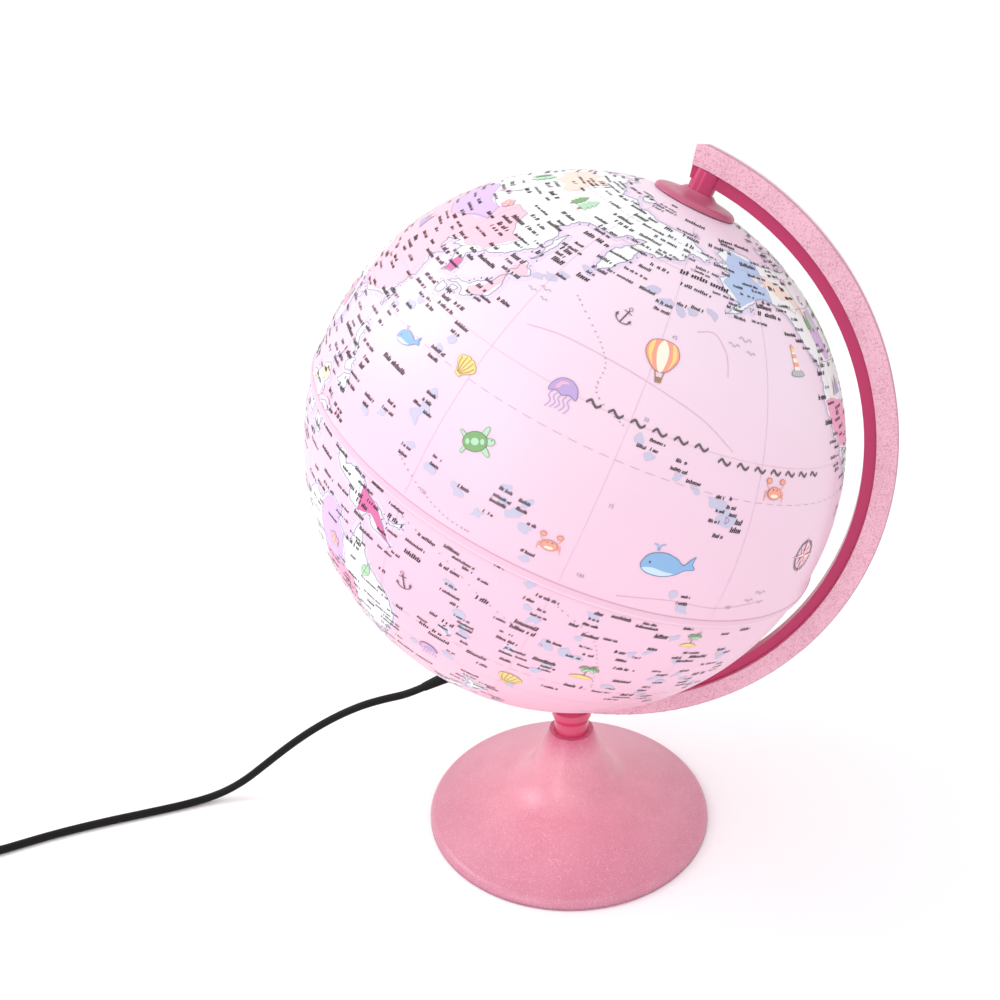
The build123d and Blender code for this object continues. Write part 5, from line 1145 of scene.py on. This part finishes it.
motifs = {
    "balloon": (
        ("stroke", "brown", pairs(-2.4, -4.6, -1.5, -8.2)), ("stroke", "brown", pairs(2.4, -4.6, 1.5, -8.2)),
        ("fill", "coral", pairs(0, 10, 5.8, 8.6, 8, 4, 6.6, -0.6, 2.6, -5, -2.6, -5, -6.6, -0.6, -8, 4,
                                -5.8, 8.6)),
        ("flat", "cream", pairs(0, 9.8, 2.4, 6.5, 2.7, 1.5, 1.1, -4.9, -1.1, -4.9, -2.7, 1.5, -2.4, 6.5)),
        ("flat", "sun", pairs(4.2, 8.9, 6.3, 6.6, 6.7, 2, 3.7, -3.4, 4.9, 1.5)),
        ("flat", "sun", pairs(-4.2, 8.9, -4.9, 1.5, -3.7, -3.4, -6.7, 2, -6.3, 6.6)),
        ("cut", "brown", pairs(-1.8, -8, -1.4, -10.6, 1.4, -10.6, 1.8, -8))),
    "whale": (
        ("fill", "sky", pairs(-10, 0.5, -7.4, 4.4, -1, 5.8, 5, 4, 9, 1.4, 11.6, 3.8, 13.8, 5.6, 13.2, 2.2,
                              14.8, -0.2,
                              10.6, -0.9, 6, -3.6, 0, -5, -6.4, -4.2, -9.6, -2)),
        ("flat", "mist", pairs(-9.2, -2.1, -4.6, -1.4, 1, -2.6, 5.6, -3.2, 0.4, -4.7, -6, -4)),
        ("flat", "ink", oval(-6.4, 0.9, 1.1, 1.1, 8)),
        ("stroke", "sky", pairs(-4.6, 6.4, -4.9, 8.6, -6.9, 9.2)),
        ("stroke", "sky", pairs(-4, 6.4, -3.5, 8.8, -1.6, 9.4))),
    "turtle": (
        ("fill", "mint", pairs(3, 3.4, 6.6, 7.8, 8.2, 6.8, 5.8, 2.4)),
        ("fill", "mint", pairs(3, -3.4, 5.8, -2.4, 8.2, -6.8, 6.6, -7.8)),
        ("fill", "mint", pairs(-4.6, 3, -7.6, 6.2, -8.4, 5.2, -6, 2)),
        ("fill", "mint", pairs(-4.6, -3, -6, -2, -8.4, -5.2, -7.6, -6.2)),
        ("fill", "mint", oval(8.6, 0, 5, 3.8, 10)), ("fill", "moss", oval(0, 0, 14, 10.6, 14)),
        ("flat", "mint", oval(0, 0, 4.6, 4, 6)), ("flat", "mint", oval(4.2, 0, 2.4, 3.2, 6)),
        ("flat", "mint", oval(-4.2, 0, 2.4, 3.2, 6)), ("flat", "ink", oval(9.4, 0.9, 0.7, 0.7, 6))),
    "jelly": tuple(("stroke", "violet", pairs(x, -0.5, x - 1, -3, x + 0.9, -5.5, x - 0.7, -8 - abs(x) % 2))
                   for x in (-5, -2.5, 0, 2.5, 5)) + (
        ("fill", "violet", pairs(-7.4, -0.6, -6.4, 4.2, -2.6, 7.4, 2.6, 7.4, 6.4, 4.2, 7.4, -0.6, 3.6, 0.5,
                                 0, -0.7, -3.6, 0.5)),
        ("flat", "petal", pairs(-4.6, 2, -3, 5.2, 0, 6.2, 1, 5.4, -1.8, 4.2, -3, 1.8))),
    "crab": tuple(("stroke", "coral", pairs(3.6 * side, -y, 7.4 * side, 1.2 - y, 8.2 * side, -2.2 - y))
                  for side in (-1, 1) for y in (0, 1.4, 2.8)) + (
        ("stroke", "coral", pairs(-4, 2, -7, 4.4, -6.4, 6.6)),
        ("stroke", "coral", pairs(4, 2, 7, 4.4, 6.4, 6.6)),
        ("fill", "coral", oval(-6, 7.4, 4.6, 3.4, 9)), ("fill", "coral", oval(6, 7.4, 4.6, 3.4, 9)),
        ("fill", "coral", oval(0, 0, 11.6, 7.6, 12)), ("flat", "cream", oval(0, -1.6, 6.4, 2.2, 8)),
        ("flat", "ink", oval(-1.7, 2.2, 1, 1, 6)), ("flat", "ink", oval(1.7, 2.2, 1, 1, 6))),
    "palm": (
        ("fill", "sun", pairs(-9.4, -6.6, -4.6, -4, 1.4, -3.2, 7.4, -4.6, 10.4, -6.8, 4, -7.8, -4, -7.8)),
        ("stroke", "brown", pairs(1.6, -3.6, 0.6, 0, 0.8, 3.4, 2, 6.4)),
        ("stroke", "brown", pairs(2.2, -3.6, 1.2, 0, 1.4, 3.4, 2.4, 6.4)),
        ("fill", "moss", pairs(2, 6.4, 5, 8.8, 8.8, 7.8, 10, 4.6, 6.6, 6.2)),
        ("fill", "moss", pairs(2, 6.4, -0.8, 9, -5, 8.2, -6.4, 5, -2.6, 6.4)),
        ("fill", "mint", pairs(2, 6.4, 5.6, 5.4, 7.2, 1.8, 3.9, 3.4)),
        ("fill", "mint", pairs(2, 6.4, -1.6, 5.2, -3.2, 1.4, 0.2, 3)),
        ("fill", "moss", pairs(2, 6.4, 4, 10, 7, 11.6, 4.6, 11, 1.8, 9.4))),
    "compass": (
        ("ring", "ink", oval(0, 0, 14.5, 14.5, 24)), ("ring", "ink", oval(0, 0, 16.2, 16.2, 24)),
        ("cut", "petal", fan(4, 1.9, 7, start=45)), ("cut", "berry", fan(4, 1.7, 11)),
        ("cut", "cream", pairs(0, 11, 0, 0, 1.2, 1.2)), ("cut", "cream", pairs(-11, 0, 0, 0, -1.2, 1.2)),
        ("cut", "cream", pairs(0, -11, 0, 0, -1.2, -1.2)), ("cut", "cream", pairs(11, 0, 0, 0, 1.2, -1.2))),
    "shell": (
        ("fill", "sun", pairs(-2.2, -6, 2.2, -6, 2.6, -4, 7.6, 1.6, 6.8, 4.8, 4, 6.2, 2.2, 7.2, 0, 6.8,
                              -2.2, 7.2, -4, 6.2,
                              -6.8, 4.8, -7.6, 1.6, -2.6, -4)),
        ("stroke", "brown", pairs(0, -4.4, 0, 6.4)), ("stroke", "brown", pairs(0.5, -4.4, 2.4, 1, 3, 6)),
        ("stroke", "brown", pairs(-0.5, -4.4, -2.4, 1, -3, 6)),
        ("stroke", "brown", pairs(1, -4.4, 4.6, 0, 6, 4)),
        ("stroke", "brown", pairs(-1, -4.4, -4.6, 0, -6, 4))),
    "anchor": tuple(("stroke", "ink", path + shift) for shift in (np.zeros(2), np.array((0.3, 0.0)),
        np.array((-0.3, 0)))
                    for path in (pairs(0, 5.6, 0, 0, 0, -7), pairs(-3.4, 3.6, 0, 3.8, 3.4, 3.6),
                                 pairs(-6.2, -2.4, -5, -5.6, 0, -7.4, 5, -5.6, 6.2, -2.4))) + (
        ("ring", "ink", oval(0, 7.2, 3, 3, 10)), ("cut", "ink", pairs(-7.8, -3.6, -6.2, -0.6, -4.6, -3.2)),
        ("cut", "ink", pairs(4.6, -3.2, 6.2, -0.6, 7.8, -3.6))),
    "lighthouse": (
        ("fill", "stone", pairs(-6.6, -9, -4.6, -6.4, 0, -5.8, 4.8, -6.6, 6.8, -9, 0, -10)),
        ("cut", "cream", pairs(-2.9, -6.2, 2.9, -6.2, 1.8, 5, -1.8, 5)),
        ("cut", "coral", pairs(-2.7, -4, 2.7, -4, 2.4, -1.4, -2.4, -1.4)),
        ("cut", "coral", pairs(-2.2, 1.2, 2.2, 1.2, 2, 3.6, -2, 3.6)),
        ("cut", "sun", pairs(-1.4, 5, 1.4, 5, 1.4, 7.4, -1.4, 7.4)),
        ("cut", "coral", pairs(-2.2, 7.4, 2.2, 7.4, 0, 10))),
    "gulls": tuple(("stroke", "stone", pairs(x - 3 * w, y + 0.6 * w, x - 1.8 * w, y + 1.5 * w, x, y,
                                             x + 1.8 * w, y + 1.5 * w, x + 3 * w, y + 0.6 * w))
                   for x, y, w in ((-4.5, -1.5, 1.1), (2.5, 3, 1.3), (6, -3, 0.9))),
    "peaks": (
        ("cut", "stone", pairs(-9, -5, -3.4, 5.6, 2, -5)),
        ("cut", "cream", pairs(-5.1, 2.4, -3.4, 5.6, -1.7, 2.4, -3, 3.2)),
        ("cut", "violet", pairs(-1.6, -5, 4, 7.6, 9.6, -5)),
        ("cut", "cream", pairs(2.3, 3.8, 4, 7.6, 5.7, 3.8, 4.6, 4.9, 3.4, 4.3))),
    "firs": tuple(("cut", paint, pairs(x - 3 * w, -4 + y * w, x, 1.6 * w + y * w, x + 3 * w, -4 + y * w))
                  for x, w, paint in ((-3.4, 0.9, "moss"), (3.2, 1.15, "mint")) for y in (0, 2.6, 5.2)) + (
        ("cut", "brown", pairs(-3.9, -6, -2.9, -6, -2.9, -4, -3.9, -4)),
        ("cut", "brown", pairs(2.6, -6.4, 3.8, -6.4, 3.8, -4, 2.6, -4))),
    "flower": tuple(("fill", "petal", oval(3.4 * math.cos(a), 3.4 * math.sin(a), 4.8, 4.8, 9))
                    for a in np.radians((18, 90, 162, 234, 306))) + (("fill", "sun",
                        oval(0, 0, 3.8, 3.8, 9)),),
    "penguin": (
        ("fill", "ink", pairs(0, 8, 2.4, 6.6, 2.6, 4, 4.4, 0.4, 3.8, -5, 1.6, -7.4, -1.6, -7.4, -3.8, -5,
                              -4.4, 0.4, -2.6, 4, -2.4, 6.6)),
        ("flat", "cream", pairs(0, 3.4, 2.2, 1.4, 2.6, -3.4, 0, -6.4, -2.6, -3.4, -2.2, 1.4)),
        ("cut", "sun", pairs(-1, 5.4, 1, 5.4, 0, 3.8)),
        ("cut", "sun", pairs(-2.8, -8.4, -0.4, -8.4, -1.4, -6.8)),
        ("cut", "sun", pairs(0.4, -8.4, 2.8, -8.4, 1.4, -6.8))),
    "leaf": (
        ("fill", "mint", pairs(-8, -4, -5.4, 1.6, 0, 4.6, 5.6, 4.4, 9, 6, 6.6, 1.4, 3, -3.2, -2.6, -5.2)),
        ("stroke", "moss", pairs(-9.6, -5.4, -3.6, -1.4, 2.4, 1.8, 8, 5)),
        ("stroke", "moss", pairs(-3, -1, -2.6, 2.6)),
        ("stroke", "moss", pairs(1.4, 1.2, 2.6, 4.2)), ("stroke", "moss", pairs(-2, -0.6, 0.8, -3.6))),
    "waves": tuple(("stroke", "ink", pairs(-2.6, -0.4, -1.2, 0.9, 0.2, -0.3, 1.5, -0.9, 2.8, 0.3) + (0, y))
                   for y in (-0.25, 0, 0.25)),
}
# where each drawing lies: longitude, latitude, share of full size, degrees leant to the left
motifPlaces = {
    "balloon": ((-178.5, 41.5, 0.95, 8), (-38, 48, 0.9, 0), (72, -22, 1.0, -6)),
    "whale": ((-164.5, 9.5, 1.05, 6), (133.5, 22, 0.6, 12), (-30, 8, 1.0, -4), (88, -33, 1.0, 5),
              (2, 71, 0.8, 0)),
    "turtle": ((157.2, 15.6, 0.8, 28), (62, -7, 0.85, 150), (-88, 8, 0.8, 20)),
    "jelly": ((166.5, 29.3, 0.85, 4), (163, -31, 0.7, 10), (-24, -12, 0.9, -8), (-128, -40, 0.9, 6)),
    "crab": ((-145.5, 25.4, 0.75, 0), (176, 6.2, 0.62, 8), (90, 14.2, 0.6, 0), (-69, 30, 0.8, 10)),
    "palm": ((-151, -4.9, 0.5, 0), (-166.8, -17.8, 0.62, 0), (82, -15, 0.7, 0), (-57, 20, 0.7, 0)),
    "compass": ((-129.5, 13, 1.0, 0), (-18, -34, 1.1, 0), (100, -47, 1.0, 0)),
    "shell": ((-178.8, -27.5, 0.8, -14), (148, 24.5, 0.7, -12), (48, -33, 0.8, 20), (-100, -16, 0.8, 0)),
    "anchor": ((155, -15.4, 0.62, 20), (170, 46, 0.55, -14), (5, -28, 0.8, -12), (-96, -47, 0.8, 8)),
    "lighthouse": ((-137.5, 49.5, 0.8, 4), (-11.5, 46, 0.55, 0), (139, -43, 0.75, 0)),
    "gulls": ((-158.5, 49.5, 0.9, 0), (-141, 5, 0.9, 0), (-152, -37, 1.0, 0), (-44, 30, 1.0, 0),
              (150, 42, 0.7, 0)),
    "peaks": ((99, 36.5, 0.85, 0), (-113, 44, 0.8, 0), (72.5, 38, 0.5, 0), (-69, -15, 0.6, 0),
              (9, 46, 0.4, 0)),
    "firs": ((131.5, 62.5, 0.9, 0), (98, 60, 0.9, 0), (-118, 57, 0.8, 0), (60, 57.5, 0.8, 0),
             (22, 62, 0.6, 0)),
    "flower": ((134.5, -21, 0.75, 0), (24, -2, 0.9, 0), (78, 21.5, 0.8, 0), (116, 51.5, 0.62, 0),
               (-92, 38, 0.8, 0)),
    "penguin": ((110, -76, 0.9, 0), (10, -75, 0.9, 0), (-110, -77, 0.9, 0)),
    "leaf": ((-56, -8, 1.0, 0), (18, 12, 0.9, 0), (145.5, -20.5, 0.62, 40), (103, 16.5, 0.5, 20),
             (-84, 33, 0.6, 0)),
    "waves": tuple((lon, lat, 1.2, 3.0) for first, lat, count in (
        (172.4, 30.2, 6), (-159.5, 29.0, 7), (-42, 20, 6), (-24, -20, 5), (72, -40, 6), (-122, -26, 6))
        for lon in first + 4.5 * np.arange(count)),
}


def draw(ink, name, lon, lat, size, lean):
    c, s = math.cos(math.radians(lean)), math.sin(math.radians(lean))
    for level, (kind, paint, points) in enumerate(motifs[name]):
        rounded = smoothed(points, kind != "stroke") if kind != "cut" else points
        placed = unflatten(finer(rounded * size @ np.array(((c, s), (-s, c))), 2.2, kind != "stroke"),
                           (lon, lat))
        lift = inkLayers["motif"] + 0.02 * level
        if kind in ("stroke", "ring"):
            drawLine(ink, placed, 0.5 * size, lift, paints[paint], closed=kind == "ring")
            continue
        fillShape(ink, placed, lift, paints[paint], 2.4, (lon, lat))
        if kind == "fill":
            drawLine(ink, placed, 0.3 * size, lift + 0.01, tuple(0.45 * v for v in paints[paint]),
                     closed=True)


artInk, printInk = Ink(), Ink()
taken = []
for name, places in motifPlaces.items():
    for lon, lat, size, lean in places:
        draw(artInk, name, lon, lat, size, lean)
        reach = 6 if name == "waves" else 20
        taken.append((lon, lat, reach * size, (3 if name == "waves" else 19) * size))

# a row is set down only where no drawing and no earlier row is: the open places are tried in this order
rng = np.random.default_rng(11)
landShapes = [outline for _, outline in coasts.values()] + islands
shore = direction(*np.concatenate([finer(outline, 3.0) for outline in landShapes]).T)
seaNames = pairs(-172, 59.5, 20, 2.0, 150, 56.5, 12, 1.7, 134, 40.5, 10, 1.5, 125.5, 30, 9, 1.4, 116.5, 14,
                 12, 1.6, 153, -12.5, 13, 1.6,
                 159, -38.5, 18, 1.9, 135, 17, 15, 1.7, 88, 9.5, 16, 1.8, 64, 15, 15, 1.8, 75, -27.5, 34,
                 3.0, 128, -5.8, 10, 1.4,
                 18, 35, 16, 1.6, 34.8, 43.2, 9, 1.3, 4, 56.5, 9, 1.5, -30, -27, 32, 3.0, -35, 33.5, 32,
                 3.0, -90, 25, 16, 1.7,
                 -75, 15, 16, 1.7, -85, 60, 13, 1.7, -55, 60, 13, 1.6, -145, 57, 14, 1.7, -150, 73, 16, 1.8,
                 60, 76, 14, 1.6,
                 5, 66, 14, 1.6, -110, -30, 34, 3.0, 128, -33.5, 16, 1.7, 20, -45, 20, 2.0, -62, -47, 12,
                 1.5,
                 180, -61, 24, 2.0, 90, -58, 24, 2.0, 0, -59, 24, 2.0, -90, -62, 24, 2.0, -150, 52.5, 12,
                 1.3, -174, 56.8, 14, 1.4).reshape(-1, 4)
tries = [(lon, lat, length, height, True) for lon, lat, length, height in seaNames]
for lon, lat, width in isles:
    low = rng.uniform(1.6, 2.4) * rng.choice((-1, 1))
    eastward = rng.uniform(-2, 5)
    spread = math.cos(math.radians(lat))
    for row in range(rng.integers(1, 4)):
        tries.append((lon + eastward / 2.62 / spread, lat + (low + 1.9 * row * np.sign(low)) / 2.62,
                      rng.uniform(4.5, 9), rng.uniform(1.1, 1.4), False))
spots = np.stack((rng.uniform(-180, 180, 12000), np.degrees(np.arcsin(rng.uniform(-0.985, 0.985, 12000)))), 1)
inside = np.zeros(len(spots), bool)
for outline in landShapes:
    for turnRound in (-360, 0, 360):
        inside |= insideOf(spots + (turnRound, 0), outline)
inside |= spots[:, 1] < np.interp(spots[:, 0], southLon, southCoast)
shoreReach = 9.5  # mm from a coast that still counts as near it
nearness = (direction(*spots.T).astype(np.float32) @ shore.astype(np.float32).T).max(1)
nearShore = nearness > math.cos(shoreReach / ball["radius"])
southSeas = (np.abs(spots[:, 1] + 14) < 13) & ((spots[:, 0] > 150) | (spots[:, 0] < -135))
chance = np.where(inside, np.where(nearShore, 0.9, 0.55),
                  np.where(nearShore, 0.55, np.where(southSeas, 0.22, 0.0)))
spots = spots[rng.random(len(spots)) < chance]
tries += [(lon, lat, length, height, False) for (lon, lat), length, height in
          zip(spots, rng.uniform(4.5, 13, len(spots)), rng.choice((1.1, 1.2, 1.35, 1.5, 1.9), len(spots)))]
rowCount = 0
taken = np.array(taken + [(0, 0, 0, 0)] * len(tries))
filled = len(taken) - len(tries)
for lon, lat, length, height, wide in tries:
    if abs(lat) > 80 or abs(lat) * 2.62 < height + 2.2:
        continue
    eastward = ((taken[:filled, 0] - lon + 180) % 360 - 180) * 2.62 * math.cos(math.radians(lat))
    northward = (taken[:filled, 1] - lat) * 2.62
    clash = (np.abs(eastward) < (taken[:filled, 2] + length) / 2 + 1.0) & (
        np.abs(northward) < (taken[:filled, 3] + height * 1.4) / 2 + printLook["apart"] * 0.55)
    if clash.any():
        continue
    marks = markRow(rng, length, height)
    if wide:
        marks[..., 0] *= 1.25
    setDown(printInk, marks, lon, lat, inkLayers["label"], ashore["label"])
    taken[filled] = (lon, lat, length * (1.25 if wide else 1.0), height * 1.4)
    filled += 1
    rowCount += 1
print(f"print: {rowCount} rows of marks")

# degree figures along the equator and up the date line, drawn with plain strokes
digits = {
    "0": pairs(0.1, 0.5, 0.1, 1.5, 0.5, 2, 0.9, 1.5, 0.9, 0.5, 0.5, 0, 0.1, 0.5),
    "1": pairs(0.15, 1.5, 0.55, 2, 0.55, 0),
    "2": pairs(0.1, 1.6, 0.5, 2, 0.9, 1.5, 0.1, 0, 0.95, 0), "3": pairs(0.1, 2, 0.9, 2, 0.45, 1.15, 0.9,
        0.6, 0.5, 0, 0.1, 0.2),
    "4": pairs(0.75, 0, 0.75, 2, 0.05, 0.6, 1, 0.6), "5": pairs(0.9, 2, 0.15, 2, 0.1, 1.1, 0.7, 1.15, 0.9,
        0.5, 0.5, 0, 0.1, 0.15),
    "6": pairs(0.8, 2, 0.2, 1.1, 0.1, 0.5, 0.5, 0, 0.9, 0.5, 0.5, 1, 0.15, 0.6),
    "8": pairs(0.5, 1, 0.1, 1.5, 0.5, 2, 0.9, 1.5, 0.5, 1, 0.1, 0.5, 0.5, 0, 0.9, 0.5, 0.5, 1),
    "9": pairs(0.2, 0, 0.8, 0.9, 0.9, 1.5, 0.5, 2, 0.1, 1.5, 0.5, 1, 0.85, 1.4),
}
figures = [(lon + 2.2, 3.0, str(abs(lon))) for lon in range(-150, 181, 30)]
figures += [(-177.8, lat + 1.0, str(abs(lat))) for lat in (-60, -45, -30, -15, 15, 30, 45, 60)]
figures += [(2.2, lat + 1.0, str(abs(lat))) for lat in (-60, -45, -30, -15, 15, 30, 45, 60)]
for lon, lat, figure in figures:
    for place, digit in enumerate(figure):
        flat = digits[digit] * 0.85 + (place * 1.25, 0)
        drawLine(printInk, unflatten(finer(flat, 0.5, False), (lon, lat)), 0.26, inkLayers["label"],
                 ashore["border"])


def printMaterial():
    # ink under the same satin varnish as the sea, coloured by the mesh's own ink attribute
    made = newMaterial("mapInk", (0.8, 0.8, 0.8), 0.5, Specular_IOR_Level=0.3, Coat_Weight=0.12,
                       Coat_Roughness=0.45)
    colour = addNode(made, "ShaderNodeAttribute", attribute_name="ink")
    link(made, colour.outputs["Color"], made.node_tree.nodes["Principled BSDF"].inputs["Base Color"])
    return made


mapInk = printMaterial()
landInk.build("map_land", mapInk)
lineInk.build("map_lines", mapInk)
artInk.build("map_drawings", mapInk)
printInk.build("map_print", mapInk)

# floor and light
floorLook = newMaterial("paleFloor", (0.95, 0.95, 0.95), 0.8, Specular_IOR_Level=0.05)
floor = makeMesh("floor", [(-60, -60, 0), (60, -60, 0), (60, 90, 0), (-60, 90, 0)], [(0, 1, 2, 3)], False,
                 floorLook)

lights = {
    "keyLight": {"place": (-1.3, -0.2, 1.3), "aim": (0.0, 0.0, 0.25), "size": 0.9, "tall": 0.9, "power": 10},
    "frontLight": {"place": (-0.7, -1.3, 1.3), "aim": (0.0, 0.0, 0.2), "size": 1.3, "tall": 1.3,
                   "power": 1.0},
    "stripLight": {"place": (-0.5, -1.5, 0.75), "aim": (0.0, 0.0, 0.1), "size": 0.22, "tall": 1.3,
                   "power": 4.2},
}
for name, look in lights.items():
    lamp = bpy.data.lights.new(name, "AREA")
    lamp.energy = look["power"]
    lamp.shape = "RECTANGLE"
    lamp.size, lamp.size_y = look["size"], look["tall"]
    made = bpy.data.objects.new(name, lamp)
    bpy.context.scene.collection.objects.link(made)
    made.location = look["place"]
    made.rotation_euler = (Vector(look["aim"]) - Vector(look["place"])).to_track_quat("-Z", "Y").to_euler()

world = bpy.data.worlds.new("studio")
bpy.context.scene.world = world
world.use_nodes = True
world.node_tree.nodes["Background"].inputs["Color"].default_value = (1.0, 0.99, 0.995, 1)
world.node_tree.nodes["Background"].inputs["Strength"].default_value = 1.08
bpy.context.scene.view_settings.view_transform = "Standard"
